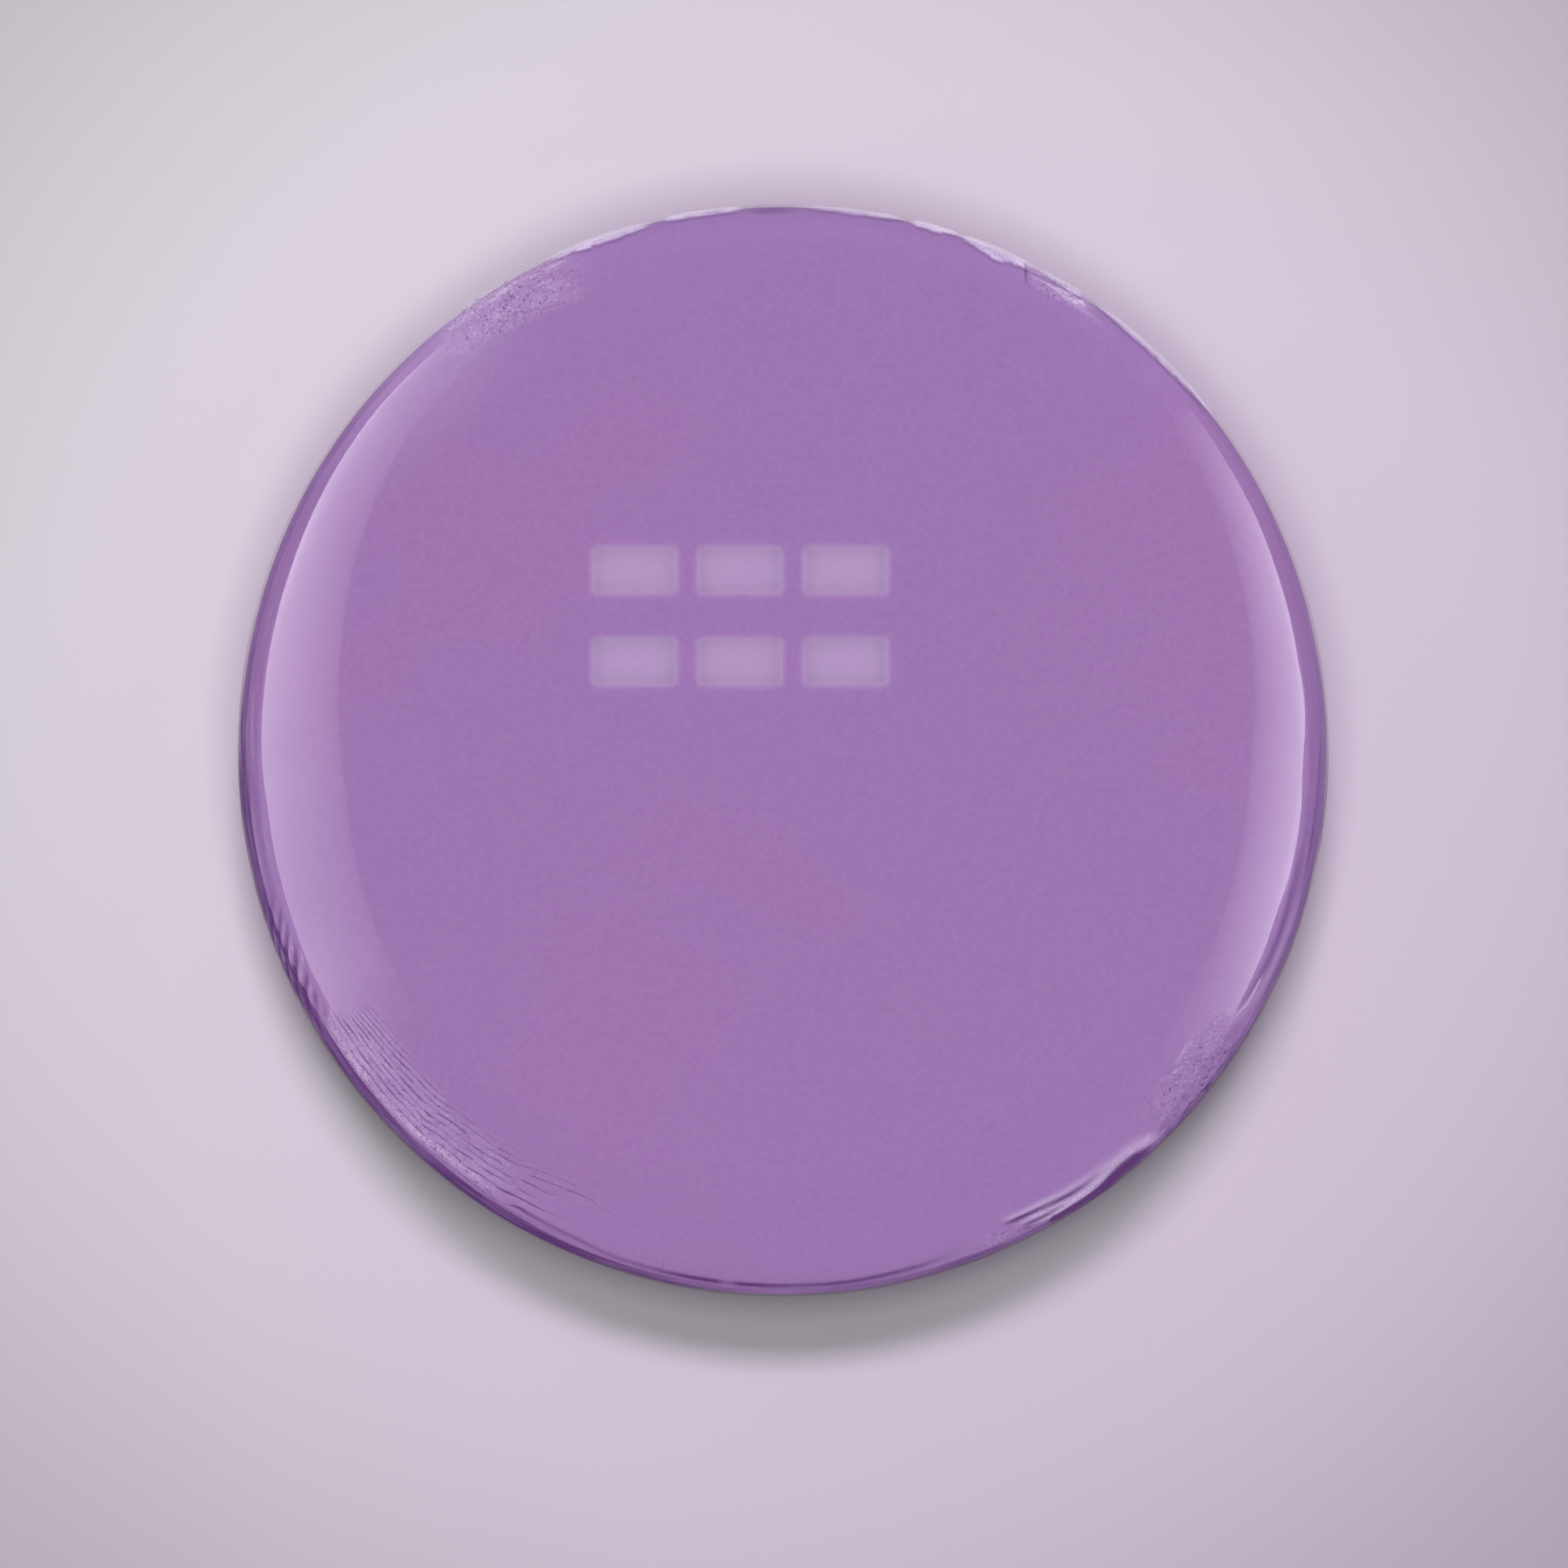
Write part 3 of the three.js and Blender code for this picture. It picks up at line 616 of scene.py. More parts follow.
class Net:
    """A few short cuts for building node trees."""

    def __init__(self, tree):
        self.t = tree

    def new(self, kind, **settings):
        n = self.t.nodes.new(kind)
        for k, v in settings.items():
            setattr(n, k, v)
        return n

    def link(self, a, b):
        self.t.links.new(a, b)

    def val(self, socket, v):
        if isinstance(v, (int, float)):
            socket.default_value = v
        elif isinstance(v, (tuple, list)):
            socket.default_value = v
        else:
            self.link(v, socket)

    def math(self, op, a, b=None, c=None, clamp=False):
        n = self.new("ShaderNodeMath", operation=op, use_clamp=clamp)
        self.val(n.inputs[0], a)
        if b is not None:
            self.val(n.inputs[1], b)
        if c is not None:
            self.val(n.inputs[2], c)
        return n.outputs[0]

    def attr(self, name):
        n = self.new("ShaderNodeAttribute", attribute_type="GEOMETRY", attribute_name=name)
        return n.outputs["Fac"]

    def vec(self, x, y, z):
        n = self.new("ShaderNodeCombineXYZ")
        for s, v in zip(n.inputs, (x, y, z)):
            self.val(s, v)
        return n.outputs[0]

    def split(self, v):
        n = self.new("ShaderNodeSeparateXYZ")
        self.link(v, n.inputs[0])
        return n.outputs

    def scale(self, v, s):
        n = self.new("ShaderNodeVectorMath", operation="SCALE")
        self.link(v, n.inputs[0])
        n.inputs["Scale"].default_value = s
        return n.outputs[0]

    def noise(self, v, scale, detail=2.0, rough=0.5, distort=0.0):
        n = self.new("ShaderNodeTexNoise", noise_dimensions="3D")
        self.link(v, n.inputs["Vector"])
        n.inputs["Scale"].default_value = scale
        n.inputs["Detail"].default_value = detail
        n.inputs["Roughness"].default_value = rough
        n.inputs["Distortion"].default_value = distort
        return n.outputs["Fac"]

    def voronoi(self, v, scale, feature="F1", randomness=1.0):
        n = self.new("ShaderNodeTexVoronoi", feature=feature)
        self.link(v, n.inputs["Vector"])
        n.inputs["Scale"].default_value = scale
        n.inputs["Randomness"].default_value = randomness
        return n.outputs["Distance"]

    def ramp(self, v, a, b, lo=0.0, hi=1.0, smooth=True):
        n = self.new("ShaderNodeMapRange", clamp=True, interpolation_type="SMOOTHSTEP" if smooth else "LINEAR")
        self.val(n.inputs["Value"], v)
        n.inputs["From Min"].default_value = a
        n.inputs["From Max"].default_value = b
        n.inputs["To Min"].default_value = lo
        n.inputs["To Max"].default_value = hi
        return n.outputs["Result"]

    def mix(self, fac, a, b, blend="MIX"):
        n = self.new("ShaderNodeMix", data_type="RGBA", blend_type=blend)
        self.val(n.inputs["Factor"], fac)
        self.val(n.inputs[6], a if not isinstance(a, tuple) or len(a) == 4 else (*a, 1.0))
        self.val(n.inputs[7], b if not isinstance(b, tuple) or len(b) == 4 else (*b, 1.0))
        return n.outputs[2]

    def bump(self, height, strength, distance, normal=None):
        n = self.new("ShaderNodeBump")
        n.inputs["Distance"].default_value = distance
        self.val(n.inputs["Strength"], strength)
        self.link(height, n.inputs["Height"])
        if normal is not None:
            self.link(normal, n.inputs["Normal"])
        return n.outputs["Normal"]

    def coords(self):
        return self.new("ShaderNodeTexCoord").outputs["Object"]


SOAP_COL = (0.312, 0.159, 0.412)
SOAP_PINK = (0.322, 0.157, 0.405)
SOAP_BLUE = (0.298, 0.161, 0.425)
# colour of the painted shade that the film's veil lays over creases, grooves and the edge band
PAINTED_SHADE_COL = (0.082, 0.017, 0.135)


def soap_material():
    m, nt = nodes_of("soap_cast_purple")
    n = Net(nt)
    co = n.coords()
    # clouds frozen into the cast, a few millimetres across, and its fine grain
    cloud = n.noise(co, 42.0, 3.0, 0.5, 0.4)
    col = n.mix(n.ramp(cloud, 0.35, 0.65), SOAP_PINK, SOAP_BLUE)
    wide = n.noise(n.scale(co, 1.0), 16.0, 2.0, 0.5, 0.2)
    col = n.mix(n.ramp(wide, 0.3, 0.7, 0.0, 0.75), col, SOAP_COL)
    grain = n.noise(co, 2600.0, 2.0, 0.6)
    col = n.mix(n.ramp(grain, 0.25, 0.75, 0.0, 1.0), n.mix(0.025, col, (0.05, 0.02, 0.1)), n.mix(0.02, col, (1.0, 0.9, 1.0)))
    # painted reflection: the soap is painted paler where the film bridges the pressed tiles, as from the air gap behind
    # the film
    col = n.mix(n.math("MULTIPLY", n.attr("tile"), 0.205), col, (0.86, 0.72, 0.90))
    bubbles = n.voronoi(co, 900.0)
    specks = n.ramp(bubbles, 0.10, 0.16, 1.0, 0.0)
    rare = n.ramp(n.noise(co, 260.0, 1.0), 0.62, 0.70)
    specks = n.math("MULTIPLY", specks, rare)
    col = n.mix(n.math("MULTIPLY", specks, 0.03), col, (0.80, 0.70, 0.90))
    b = n.new("ShaderNodeBsdfPrincipled")
    n.link(col, b.inputs["Base Color"])
    b.inputs["Roughness"].default_value = 0.48
    b.inputs["IOR"].default_value = 1.45
    b.inputs["Specular IOR Level"].default_value = 0.12
    b.inputs["Subsurface Weight"].default_value = 0.45
    b.inputs["Subsurface Radius"].default_value = (1.0, 0.6, 1.0)
    b.inputs["Subsurface Scale"].default_value = 0.0035
    height = n.math("ADD", n.math("MULTIPLY", grain, 0.35), n.noise(co, 420.0, 2.0))
    n.link(n.bump(height, 0.12, 0.00003), b.inputs["Normal"])
    out = n.new("ShaderNodeOutputMaterial")
    n.link(b.outputs[0], out.inputs["Surface"])
    return m


def film_material(name="film_clear_shrink", base_haze=0.0):
    m, nt = nodes_of(name)
    n = Net(nt)
    co = n.coords()
    mm = n.scale(co, 1000.0)
    x, y, z = n.split(mm)
    run = n.attr("run")
    fan_n = n.attr("fan_n")
    fan = n.attr("fan")
    haze_and_sheen = n.attr("haze_and_sheen")
    painted_shade = n.attr("painted_shade")
    crinkle = n.attr("crinkle")

    # stipple of the crumpled corners, and the longer flakes that run with the rim
    fine = n.noise(mm, 5.2, 2.0, 0.6)
    stipple = n.noise(mm, 2.3, 3.0, 0.65, 0.6)
    flow = n.vec(n.math("MULTIPLY", x, 0.55), n.math("MULTIPLY", y, 0.55), n.math("MULTIPLY", run, 3.4))
    flake = n.noise(flow, 1.6, 3.0, 0.6, 0.5)
    rim_line = n.noise(n.vec(n.math("MULTIPLY", x, 0.22), n.math("MULTIPLY", y, 0.22), n.math("MULTIPLY", run, 2.6)), 1.0, 2.0, 0.55)

    # creases of the fan: thin, nearly parallel, fading in and out; they are also laid over the film as painted shade
    # below
    lane = n.math("FRACT", fan_n)
    wide = n.ramp(n.noise(mm, 0.55, 2.0, 0.6), 0.35, 0.65, 0.10, 0.17)
    off = n.math("ABSOLUTE", n.math("SUBTRACT", lane, 0.5))
    line = n.math("SUBTRACT", 1.0, n.math("DIVIDE", off, wide), clamp=True)
    brk = n.ramp(n.noise(n.vec(n.math("MULTIPLY", x, 0.55), n.math("MULTIPLY", y, 0.55), n.math("MULTIPLY", fan_n, 2.0)), 1.0, 2.0, 0.6), 0.36, 0.56, 0.15, 1.0)
    crease = n.math("MULTIPLY", n.math("MULTIPLY", line, brk), fan)

    height = n.math("MULTIPLY", n.math("SUBTRACT", stipple, 0.5), n.math("MULTIPLY", crinkle, 0.7))
    height = n.math("ADD", height, n.math("MULTIPLY", n.math("SUBTRACT", flake, 0.5), n.math("MULTIPLY", crinkle, 0.9)))
    height = n.math("ADD", height, n.math("MULTIPLY", n.math("SUBTRACT", fine, 0.5), n.math("MULTIPLY_ADD", crinkle, 0.5, 0.01)))
    height = n.math("SUBTRACT", height, n.math("MULTIPLY", crease, 0.55))
    normal = n.bump(height, 1.0, 0.00011)

    grain = n.noise(mm, 6.5, 1.0, 0.5)
    # paler veil: the crumpled or lifted film's own milkiness together with painted highlights, glints and sheen from
    # the vertex masks
    milk_and_glint = n.math("MULTIPLY", haze_and_sheen, n.ramp(n.math("ADD", n.math("MULTIPLY", flake, 0.6), n.math("MULTIPLY", grain, 0.5)), 0.36, 0.74, 0.55, 1.3, False))
    milk_and_glint = n.math("ADD", milk_and_glint, n.math("MULTIPLY", crinkle, n.ramp(grain, 0.52, 0.74, 0.0, 0.24)))
    milk_and_glint = n.math("ADD", milk_and_glint, n.math("MULTIPLY", crinkle, n.ramp(flake, 0.54, 0.72, 0.0, 0.16)))
    # painted shade in the pits of the crinkle
    pit = n.math("MULTIPLY", crinkle, n.ramp(n.noise(mm, 4.2, 1.0, 0.5), 0.60, 0.70, 0.0, 0.62))
    pit = n.math("MAXIMUM", pit, n.math("MULTIPLY", crinkle, n.ramp(flake, 0.42, 0.30, 0.0, 0.34)))
    # painted shade: the vertex mask of creases, grooves and the edge band, plus the fan's creases and the pits
    shade = n.math("MULTIPLY", painted_shade, n.ramp(rim_line, 0.30, 0.62, 0.72, 1.15, False))
    shade = n.math("ADD", n.math("ADD", shade, n.math("MULTIPLY", crease, 0.92)), pit, clamp=True)
    milk_and_glint = n.math("MINIMUM", n.math("ADD", milk_and_glint, base_haze), 0.96)
    milk_and_glint = n.math("MULTIPLY", milk_and_glint, n.math("SUBTRACT", 1.0, n.math("MULTIPLY", shade, 0.8)))
    cover = n.math("ADD", milk_and_glint, n.math("MULTIPLY", shade, 0.92), clamp=True)
    share = n.math("DIVIDE", n.math("MULTIPLY", shade, 0.92), n.math("MAXIMUM", cover, 0.001), clamp=True)
    # the veil colour runs from the pale milky lilac to the painted shade colour
    veil_col = n.mix(share, (0.82, 0.70, 0.93), PAINTED_SHADE_COL)

    veil = n.new("ShaderNodeBsdfDiffuse")
    n.link(veil_col, veil.inputs["Color"])
    n.link(normal, veil.inputs["Normal"])
    clear = n.new("ShaderNodeBsdfTransparent")
    gloss = n.new("ShaderNodeBsdfGlossy", distribution="GGX")
    gloss.inputs["Color"].default_value = (1.0, 0.985, 1.0, 1.0)
    n.link(n.math("MULTIPLY_ADD", crinkle, 0.16, 0.06), gloss.inputs["Roughness"])
    n.link(normal, gloss.inputs["Normal"])
    fres = n.new("ShaderNodeFresnel")
    fres.inputs["IOR"].default_value = 1.5
    n.link(normal, fres.inputs["Normal"])
    back = n.new("ShaderNodeNewGeometry").outputs["Backfacing"]
    # gloss and veil belong to the outer skin, seen from outside
    facing = n.math("MULTIPLY", n.math("SUBTRACT", 1.0, back), n.attr("outer"))
    shine = n.math("MULTIPLY", n.math("MINIMUM", n.math("MULTIPLY", fres.outputs[0], 1.35), 0.095), facing)
    body = n.new("ShaderNodeMixShader")
    n.link(n.math("MULTIPLY", cover, facing), body.inputs[0])
    n.link(clear.outputs[0], body.inputs[1])
    n.link(veil.outputs[0], body.inputs[2])
    both = n.new("ShaderNodeMixShader")
    n.link(shine, both.inputs[0])
    n.link(body.outputs[0], both.inputs[1])
    n.link(gloss.outputs[0], both.inputs[2])
    out = n.new("ShaderNodeOutputMaterial")
    n.link(both.outputs[0], out.inputs["Surface"])
    return m


def label_material():
    m, nt = nodes_of("label_uncoated_paper")
    n = Net(nt)
    co = n.coords()
    fibre = n.noise(n.scale(co, 1.0), 900.0, 4.0, 0.7, 1.2)
    tone = n.noise(co, 120.0, 2.0)
    col = n.mix(n.ramp(fibre, 0.3, 0.7), (0.78, 0.75, 0.72), (0.88, 0.86, 0.84))
    col = n.mix(n.ramp(tone, 0.35, 0.7, 0.0, 0.3), col, (0.82, 0.76, 0.84))
    x, y, z = n.split(n.scale(co, 1000.0))
    rad = n.math("SQRT", n.math("ADD", n.math("MULTIPLY", x, x), n.math("MULTIPLY", y, y)))
    ring = n.ramp(n.math("ABSOLUTE", n.math("SUBTRACT", rad, 19.6)), 0.22, 0.30, 1.0, 0.0)
    thin = n.ramp(n.math("ABSOLUTE", n.math("SUBTRACT", rad, 18.7)), 0.07, 0.13, 1.0, 0.0)
    ink = n.math("MAXIMUM", ring, thin)
    col = n.mix(n.math("MULTIPLY", ink, 0.85), col, (0.20, 0.08, 0.30))
    b = n.new("ShaderNodeBsdfPrincipled")
    n.link(col, b.inputs["Base Color"])
    b.inputs["Roughness"].default_value = 0.78
    b.inputs["Specular IOR Level"].default_value = 0.3
    n.link(n.bump(fibre, 0.5, 0.00003), b.inputs["Normal"])
    out = n.new("ShaderNodeOutputMaterial")
    n.link(b.outputs[0], out.inputs["Surface"])
    return m


def floor_material():
    m, nt = nodes_of("stage_floor_pale")
    n = Net(nt)
    co = n.coords()
    x, y, z = n.split(co)
    rad = n.math("SQRT", n.math("ADD", n.math("MULTIPLY", x, x), n.math("MULTIPLY", y, y)))
    # painted light: paler and greyer towards -X +Y, and a painted falloff that darkens it slowly away from the middle
    painted_light_slope = n.ramp(n.math("SUBTRACT", x, y), -0.105, 0.105, 0.0, 1.0, False)
    col = n.mix(painted_light_slope, (0.661, 0.628, 0.651), (0.554, 0.463, 0.585))
    col = n.mix(n.ramp(rad, 0.045, 0.085, 0.0, 0.26), col, (0.0, 0.0, 0.0))
    b = n.new("ShaderNodeBsdfPrincipled")
    n.link(col, b.inputs["Base Color"])
    b.inputs["Roughness"].default_value = 0.9
    b.inputs["Specular IOR Level"].default_value = 0.1
    out = n.new("ShaderNodeOutputMaterial")
    n.link(b.outputs[0], out.inputs["Surface"])
    return m


# ---------------------------------------------------------------------------- pieces
def tile_depth(x, y):
    """How deep the pressed tiles are at plan points, and the same as a 0..1 mask."""
    deep = np.zeros_like(x)
    for cx in (-1, 0, 1):
        for cy in (-0.5, 0.5):
            px = np.abs(x - TILE_C[0] - cx * TILE_PX)
            py = np.abs(y - TILE_C[1] - cy * TILE_PY)
            qx = np.maximum(px - (TILE_W / 2 - 0.55), 0)
            qy = np.maximum(py - (TILE_H / 2 - 0.55), 0)
            sd = np.hypot(qx, qy) - 0.55  # rounded box
            deep = np.maximum(deep, 1 - step(-0.34, 0.06, sd))
    return deep


def build_soap():
    spans_top = knots([(0, 3.0, 1.0), (3.0, 19.0, 0.16), (19.0, U_FLAT, 0.9)])
    us = np.concatenate([
        spans_top[1:],
        knots([(U_FLAT, U_WALL, 0.34)])[1:],
        knots([(U_WALL, U_BACK, 0.8)])[1:],
        knots([(U_BACK, U_BASE, 0.5)])[1:],
        knots([(U_BASE, U_END, 3.2)])[1:-1],
    ])
    th = np.arange(0, 360, 0.75)
    T, U = np.meshgrid(th, us)
    r, z, nr, nz = at(U)
    ca, sa = np.cos(T * DEG), np.sin(T * DEG)
    X, Y = r * ca, r * sa
    on_face = (U < U_FLAT) * 1.0
    tile = tile_depth(X, Y) * on_face
    d = -TILE_DEPTH * tile
    # the cast skin: a slight sink in the middle of the face, and slow waviness everywhere
    d += -0.02 * (1 - np.clip(r / 26.0, 0, 1) ** 2) * on_face
    d += 0.008 * fbm(X / 6, Y / 6, z / 6, 91.0, 2)
    fr, fz = fuller(T, U)
    P = np.stack([X + (nr * d + fr) * ca, Y + (nr * d + fr) * sa, z + nz * d + fz], axis=-1).reshape(-1, 3)
    verts = np.vstack([[0, 0, TOP - 0.02], P, [0, 0, SOAP_Z]])
    cols = len(th)
    faces = fan_faces(0, 1, cols) + grid_faces(len(us), cols, 1) + fan_faces(len(verts) - 1, 1 + (len(us) - 1) * cols, cols, True)
    obj = make_object("soap_cake", verts, faces)
    attribute(obj, "tile", np.concatenate([[0], tile.ravel(), [0]]))
    return obj


def build_seam():
    """The weld bead and the four bunched corners of the bag, one closed ring."""
    th = np.concatenate([np.arange(a, b, s) for a, b, s in (
        (0, 48, 1.0), (48, 72, 0.20), (72, 113, 1.0), (113, 137, 0.20), (137, 207, 1.0),
        (207, 231, 0.20), (231, 299, 1.0), (299, 323, 0.20), (323, 360, 1.0))])
    cols = len(th)
    n = 26
    k = np.arange(n)
    v = k / (n - 1)
    section = np.concatenate([np.stack([v, np.ones(n)], 1), np.stack([v[::-1], np.zeros(n)], 1)])
    rows = []
    hz, cr = [], []
    ear = np.zeros(cols)
    lean = np.zeros(cols)
    for i, e in enumerate(EARS):
        half = 7.0 * (1 + 0.12 * ((i % 2) * 2 - 1))
        q = turn(th, e) / half
        shape = np.where(np.abs(q) < 1, np.cos(np.clip(q, -1, 1) * math.pi / 2) ** 1.3, 0)
        rag = 1 + 0.16 * vnoise(th * 1.4, 0, 0, 101.0 + i) + 0.10 * vnoise(th * 4.1, 0, 0, 105.0 + i)
        m = shape > ear
        ear = np.where(m, shape * rag, ear)
        lean = np.where(m, q, lean)
    bead = 1 + 0.25 * vnoise(th * 0.35, 0, 0, 110.0)
    for vv, side in section:
        lo = SEAM_Z - 0.27 * bead - 0.9 * ear
        hi = SEAM_Z + 0.27 * bead + 3.7 * ear
        z = lo + (hi - lo) * vv
        # the wall's radius at that height
        part = _FINE[1600:2800]
        base = np.interp(-z, -part[:, 1], part[:, 0] + part[:, 2] * FILM_OUT) + 0.08
        # pleats that gather to a point at the weld
        spread = 1 / (0.35 + 0.65 * vv)
        pl = np.sin(lean * 19.0 * spread + 2.2 * vnoise(th * 0.5, vv * 2.0, 0, 111.0)) * 0.5 + 0.5
        pl2 = np.sin(lean * 41.0 * spread + 3.0 * vnoise(th * 0.9, vv * 3.0, 0, 112.0)) * 0.5 + 0.5
        swell = np.sin(math.pi * (0.12 + 0.80 * vv)) ** 0.6
        thick = (0.20 * bead + ear * (0.06 + 0.26 * pl + 0.12 * pl2)) * swell + 0.02
        rr = base + side * thick
        rows.append(np.stack([rr * np.cos(th * DEG), rr * np.sin(th * DEG), z], axis=-1))
        hz.append(np.clip(0.28 + 0.42 * ear * (0.35 + 0.65 * pl), 0, 0.85) + 0 * th)
        cr.append(np.clip(0.15 + 0.85 * ear, 0, 1))
    P = np.array(rows)
    R = len(rows)
    faces = []
    for i in range(R):
        for j in range(cols):
            a, b = i * cols + j, ((i + 1) % R) * cols + j
            c, d = ((i + 1) % R) * cols + (j + 1) % cols, i * cols + (j + 1) % cols
            faces.append((a, d, c, b))
    obj = make_object("seam_bead_and_gathers", P.reshape(-1, 3), faces)
    attribute(obj, "haze_and_sheen", np.array(hz).ravel())
    attribute(obj, "painted_shade", np.zeros(R * cols))
    attribute(obj, "crinkle", np.array(cr).ravel())
    attribute(obj, "fan_n", np.zeros(R * cols))
    attribute(obj, "fan", np.zeros(R * cols))
    attribute(obj, "run", P[:, :, 2].ravel())
    attribute(obj, "outer", np.ones(R * cols))
    return obj


def build_label():
    """A die-cut paper disc with a softly rolled edge."""
    prof = [(0.0, 0.0)]
    for r in (4, 8, 12, 15, 18, 19.5, 20.5, 21.2, 21.7):
        prof.append((float(r), 0.0))
    prof += [(21.93, 0.008), (22.0, 0.035), (22.0, 0.085), (21.95, 0.112), (21.7, 0.12), (20.0, 0.12), (12.0, 0.12), (0.0, 0.12)]
    th = np.arange(0, 360, 1.5)
    cols = len(th)
    ring = prof[1:-1]
    verts = [(0, 0, 0)]
    for r, z in ring:
        for a in th:
            w = 0.03 * math.sin(a * DEG * 3 + 1) * (r > 21.5)
            verts.append(((r + w) * math.cos(a * DEG), (r + w) * math.sin(a * DEG), z))
    verts.append((0, 0, LABEL_T))
    faces = fan_faces(0, 1, cols, True) + grid_faces(len(ring), cols, 1, True) + fan_faces(len(verts) - 1, 1 + (len(ring) - 1) * cols, cols, False)
    return make_object("label_disc", verts, faces)


def cut_vents(obj):
    """Two air-release pinholes through the back web."""
    for i, a in enumerate((20.0, 200.0)):
        mesh = bpy.data.meshes.new("vent_cut")
        n = 24
        x0, y0 = 26.5 * math.cos(a * DEG), 26.5 * math.sin(a * DEG)
        vs = [((x0 + 0.7 * math.cos(k * 2 * math.pi / n)) * MM, (y0 + 0.7 * math.sin(k * 2 * math.pi / n)) * MM, zz * MM)
              for zz in (-0.6, 0.9) for k in range(n)]
        fs = [tuple(range(n))[::-1], tuple(range(n, 2 * n))]
        fs += [(k, (k + 1) % n, n + (k + 1) % n, n + k) for k in range(n)]
        mesh.from_pydata(vs, [], fs)
        mesh.update()
        cutter = bpy.data.objects.new("vent_cut", mesh)
        bpy.context.collection.objects.link(cutter)
        mod = obj.modifiers.new("vent", "BOOLEAN")
        mod.operation = "DIFFERENCE"
        mod.solver = "EXACT"
        mod.object = cutter
        dg = bpy.context.evaluated_depsgraph_get()
        cut = bpy.data.meshes.new_from_object(obj.evaluated_get(dg), preserve_all_data_layers=True, depsgraph=dg)
        obj.modifiers.clear()
        old = obj.data
        obj.data = cut
        bpy.data.meshes.remove(old)
        bpy.data.objects.remove(cutter)
        bpy.data.meshes.remove(mesh)


soap = build_soap()
soap.data.materials.append(soap_material())

film_mat = film_material()
front = web(
    "film_front_web",
    [(0, 18.0, 2.0), (18.0, U_FLAT, 1.2), (U_FLAT, U_FLAT + 4.4, 0.28), (U_FLAT + 4.4, U_WALL - 0.1, 0.100),
     (U_WALL - 0.1, U_WALL + 1.9, 0.28), (U_WALL + 1.9, U_SEAM - 0.03, 1.0)],
    front_relief, [(U_SEAM - 0.03, U_WALL, 3.0), (U_WALL, U_FLAT, 1.15), (U_FLAT, 10.0, 8.0), (10.0, 0.0, 10.0)], "top")
front.data.materials.append(film_mat)

rear = web(
    "film_back_web",
    [(U_END, U_BASE + 8.0, 2.4), (U_BASE + 8.0, U_BASE, 0.8), (U_BASE, U_SEAM + 0.03, 0.3)],
    back_relief, [(U_SEAM + 0.03, U_BACK, 1.2), (U_BACK, U_BASE, 0.8), (U_BASE, U_END, 10.0)], "base")
rear.data.materials.append(film_mat)
cut_vents(rear)

seam = build_seam()
seam.data.materials.append(film_material("film_weld", 0.05))

label = build_label()
label.data.materials.append(label_material())

for piece, node, slot in (
    (soap, "soap_puck", "soap"),
    (front, "film_front", "film"),
    (rear, "film_back", "film"),
    (seam, "film_seam", "film_weld"),
    (label, "back_label", "label_paper"),
):
    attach(piece, "root")
    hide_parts(node)


# ----------------------------------------------------------------------------- stage
def build_floor():
    n, rings = 96, [0.0, 0.05, 0.1, 0.2, 0.5, 1.0, 1.4]
    verts = [(0, 0, 0)]
    for r in rings[1:]:
        for k in range(n):
            verts.append((r / MM * math.cos(2 * math.pi * k / n), r / MM * math.sin(2 * math.pi * k / n), 0))
    faces = fan_faces(0, 1, n) + grid_faces(len(rings) - 1, n, 1)
    return make_object("stage_floor", verts, faces, smooth=False)


floor = build_floor()
floor.data.materials.append(floor_material())
floor.visible_glossy = False


def area(name, loc, look, size, size_y, power, color=(1, 1, 1), glossy=True, diffuse=True):
    from mathutils import Vector

    data = bpy.data.lights.new(name, "AREA")
    data.shape = "RECTANGLE"
    data.size, data.size_y = size, size_y
    data.energy = power
    data.color = color
    obj = bpy.data.objects.new(name, data)
    bpy.context.collection.objects.link(obj)
    obj.location = loc
    obj.rotation_euler = (Vector(look) - Vector(loc)).to_track_quat("-Z", "Y").to_euler()
    obj.visible_camera = False
    obj.visible_glossy = glossy
    obj.visible_diffuse = diffuse
    return obj


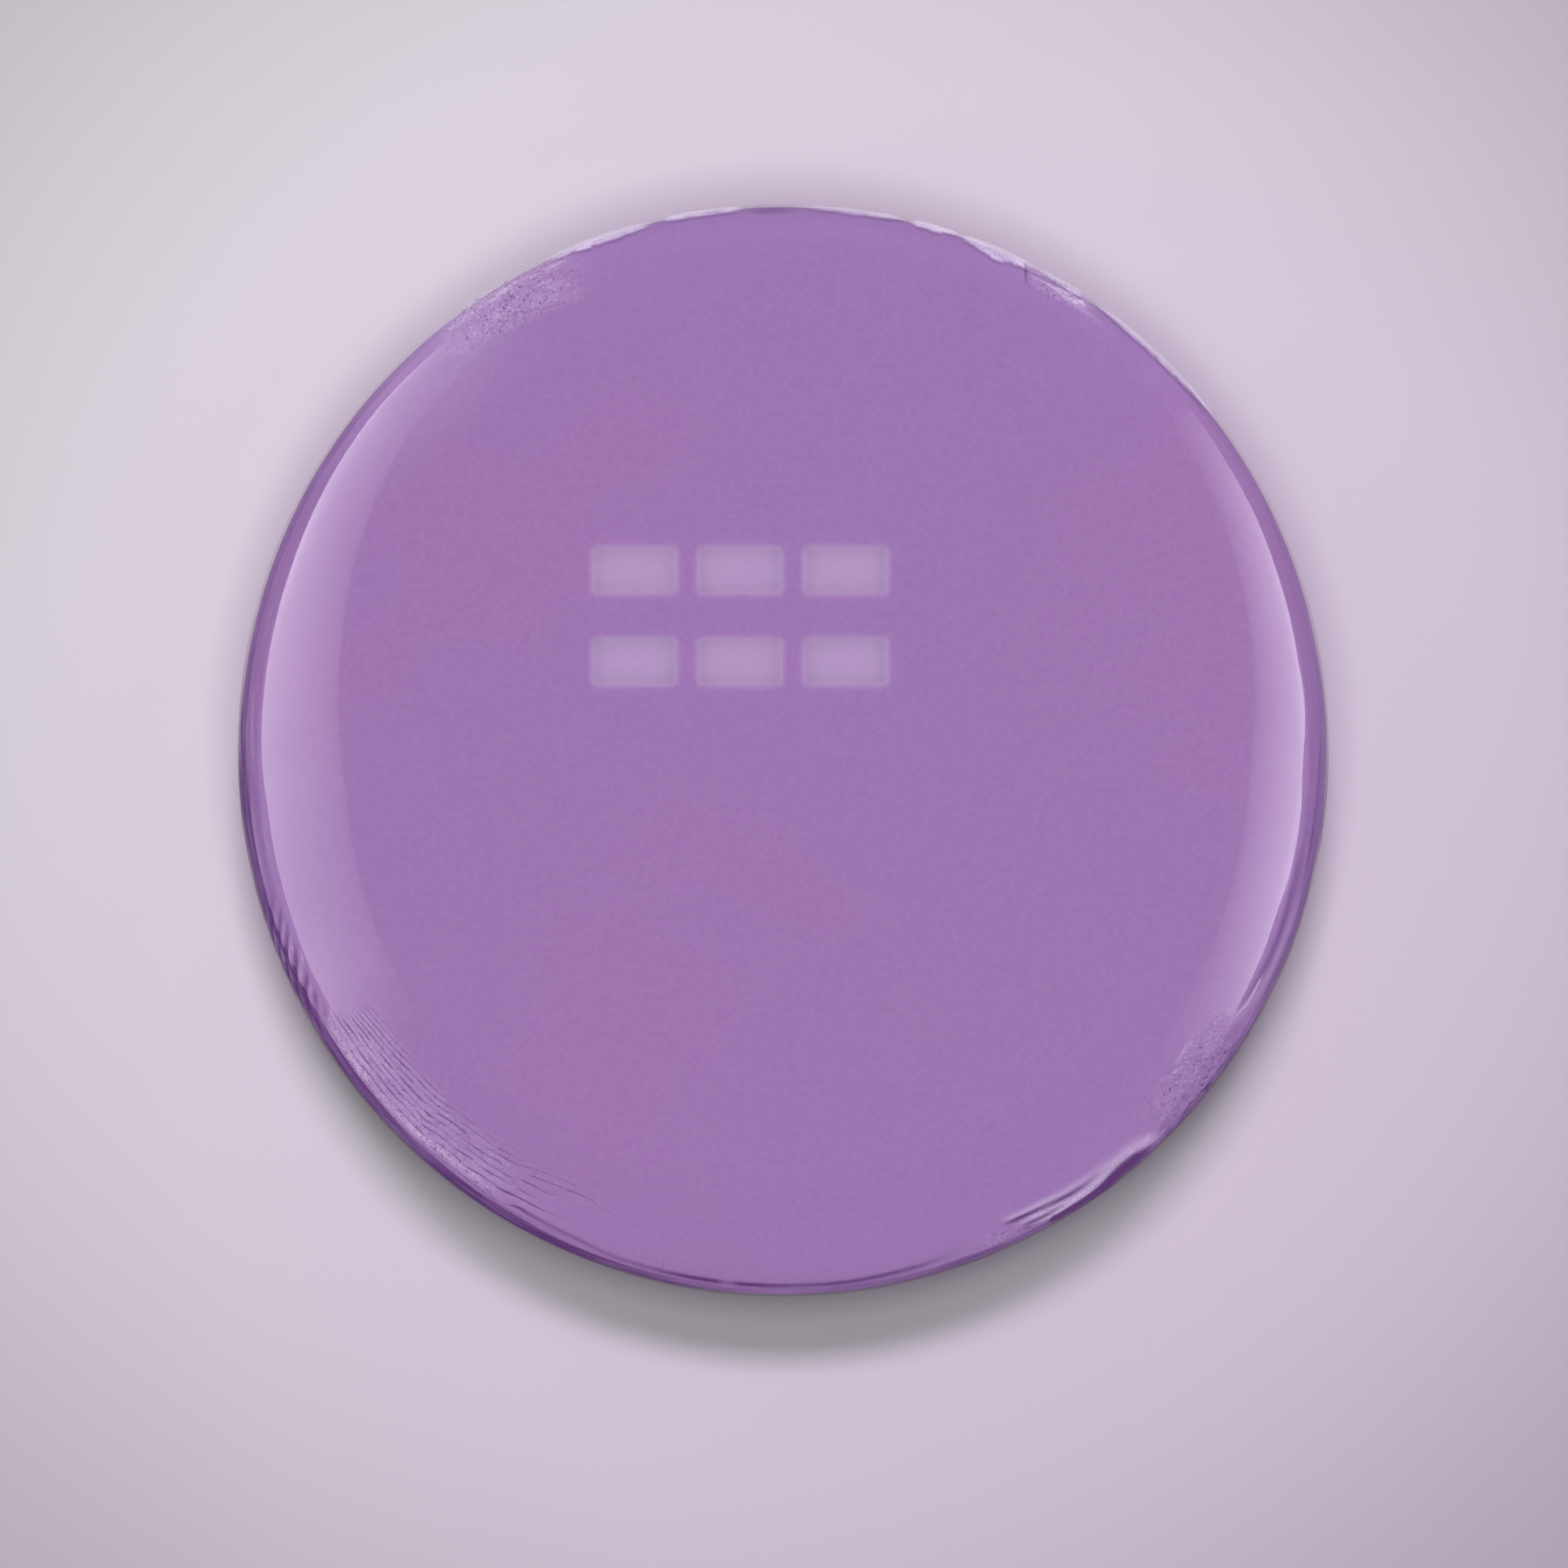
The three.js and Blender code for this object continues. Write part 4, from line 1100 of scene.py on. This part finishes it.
def panel(name, x, y0, y1, z1, foot, head, power, glow, ends, dim=(0.9, 1.0, 1.0)):
    """A soft panel that only shows in the gloss, standing upright on the floor at x and facing the
    axis. Its radiance runs from foot to head, and it fades out towards its two ends."""
    s = 1 if x < 0 else -1
    data = bpy.data.lights.new(name, "AREA")
    data.shape = "RECTANGLE"
    w, h = y1 - y0, z1
    data.size, data.size_y = w, h
    data.energy = math.pi * w * h
    data.use_nodes = True
    n = Net(data.node_tree)
    emit = [k for k in data.node_tree.nodes if k.type == "EMISSION"][0]
    across, up, _ = n.split(n.new("ShaderNodeNewGeometry").outputs["Parametric"])
    level = n.math("MULTIPLY_ADD", n.math("POWER", n.math("SUBTRACT", 1.0, up, clamp=True), power), foot - head, head)
    edge = n.math("MULTIPLY", n.math("POWER", n.math("SUBTRACT", 1.0, up, clamp=True), 14.0), glow[0])
    level = n.math("ADD", n.math("MULTIPLY", edge, n.ramp(across, glow[1], glow[2], 1.0, 0.0)), level)
    level = n.math("MULTIPLY", level, n.ramp(across, dim[0], dim[1], 1.0, dim[2]))
    level = n.math("MULTIPLY", level, n.ramp(up, 0.88, 1.0, 1.0, 0.0))
    level = n.math("MULTIPLY", level, n.ramp(across, 0.0, ends[0], 0.0, 1.0))
    level = n.math("MULTIPLY", level, n.ramp(across, 1.0 - ends[1], 1.0, 1.0, 0.0))
    n.link(level, emit.inputs["Strength"])
    obj = bpy.data.objects.new(name, data)
    bpy.context.collection.objects.link(obj)
    obj.location = (x, (y0 + y1) / 2, z1 / 2)
    obj.rotation_euler = (math.pi / 2, 0, -s * math.pi / 2)
    obj.visible_camera = False
    obj.visible_diffuse = False
    return obj


def only_for(light, pieces, name):
    """Limit a light to some receivers."""
    c = bpy.data.collections.new(name)
    for p in pieces:
        c.objects.link(p)
    light.light_linking.receiver_collection = c


PIECES = (soap, front, rear, seam, label)
# one main light, high and a little towards +Y; a tent of low fills keeps the puck's shoulder evenly lit
main = area("main", (0.0, 0.385, 1.15), (0, 0, 0.01), 0.28, 0.13, 8.25, (1.055, 0.930, 1.11), glossy=False)
only_for(main, [floor], "for_floor")
near = area("near_top", (0.0, -0.007, 0.235), (0, 0, 0), 0.040, 0.040, 0.170, (0.945, 1.095, 0.91), glossy=False)
near.light_linking.receiver_collection = bpy.data.collections["for_floor"]
lift = area("floor_lift", (0.0, 0.0, 1.00), (0, 0, 0), 0.30, 0.30, 0.40, (0.94, 1.10, 0.90), glossy=False)
lift.light_linking.receiver_collection = bpy.data.collections["for_floor"]
lift.data.use_shadow = False
soft = area("soft_main", (0.0, 0.42, 1.15), (0, 0, 0.01), 0.30, 0.30, 2.2, (1.04, 0.965, 1.10), glossy=False)
only_for(soft, PIECES, "for_puck")
over = area("overhead", (0.0, -0.02, 1.05), (0, 0, 0.01), 0.52, 0.52, 4.7, (0.96, 1.03, 0.90), glossy=False)
over.light_linking.receiver_collection = bpy.data.collections["for_puck"]
for k, (fx, fy) in enumerate(((1, 0), (0, 1), (-1, 0), (0, -1))):
    fill = area("tent_%d" % k, (0.62 * fx, 0.62 * fy, 0.20), (0, 0, 0.01), 0.50, 0.16, 1.85, (1.0, 0.99, 1.01), glossy=False)
    fill.light_linking.receiver_collection = bpy.data.collections["for_puck"]
panel("left_box", -0.50, -0.40, 0.85, 1.20, 2.9, 0.7, 1.4, (2.4, 0.50, 0.66), (0.60, 0.14), (0.64, 0.82, 0.66))
panel("right_box", 0.50, -0.46, 0.46, 0.60, 3.2, 0.25, 1.0, (1.2, 0.98, 1.0), (0.40, 0.40))

world = bpy.data.worlds.new("studio")
bpy.context.scene.world = world
world.use_nodes = True
w = Net(world.node_tree)
bg = world.node_tree.nodes["Background"]
# the room is dimmer where it's seen in the gloss, and a plain pale wall where it's looked at
ray = w.new("ShaderNodeLightPath")
seen = ray.outputs["Is Camera Ray"]
w.link(w.mix(seen, (0.95, 1.03, 0.93), (0.92, 0.88, 0.93)), bg.inputs[0])
dim = w.ramp(ray.outputs["Is Glossy Ray"], 0.0, 1.0, 0.20, 0.12, False)
w.link(w.math("MULTIPLY_ADD", seen, 0.42, dim), bg.inputs[1])

cam_data = bpy.data.cameras.new("view")
cam_data.lens = 135.0
cam_data.sensor_width = 36.0
cam_data.clip_start = 0.01
cam_data.clip_end = 20.0
cam_data.shift_x = 0.9 / 1932
cam_data.shift_y = -40.1 / 1932
cam = bpy.data.objects.new("view", cam_data)
bpy.context.collection.objects.link(cam)
cam.location = (0.0, 0.0, 0.0135 + 0.3811)
cam.rotation_euler = (0.0, 0.0, 0.0)
bpy.context.scene.camera = cam

bpy.context.scene.view_settings.view_transform = "Standard"
bpy.context.scene.view_settings.look = "None"

bpy.context.view_layer.update()
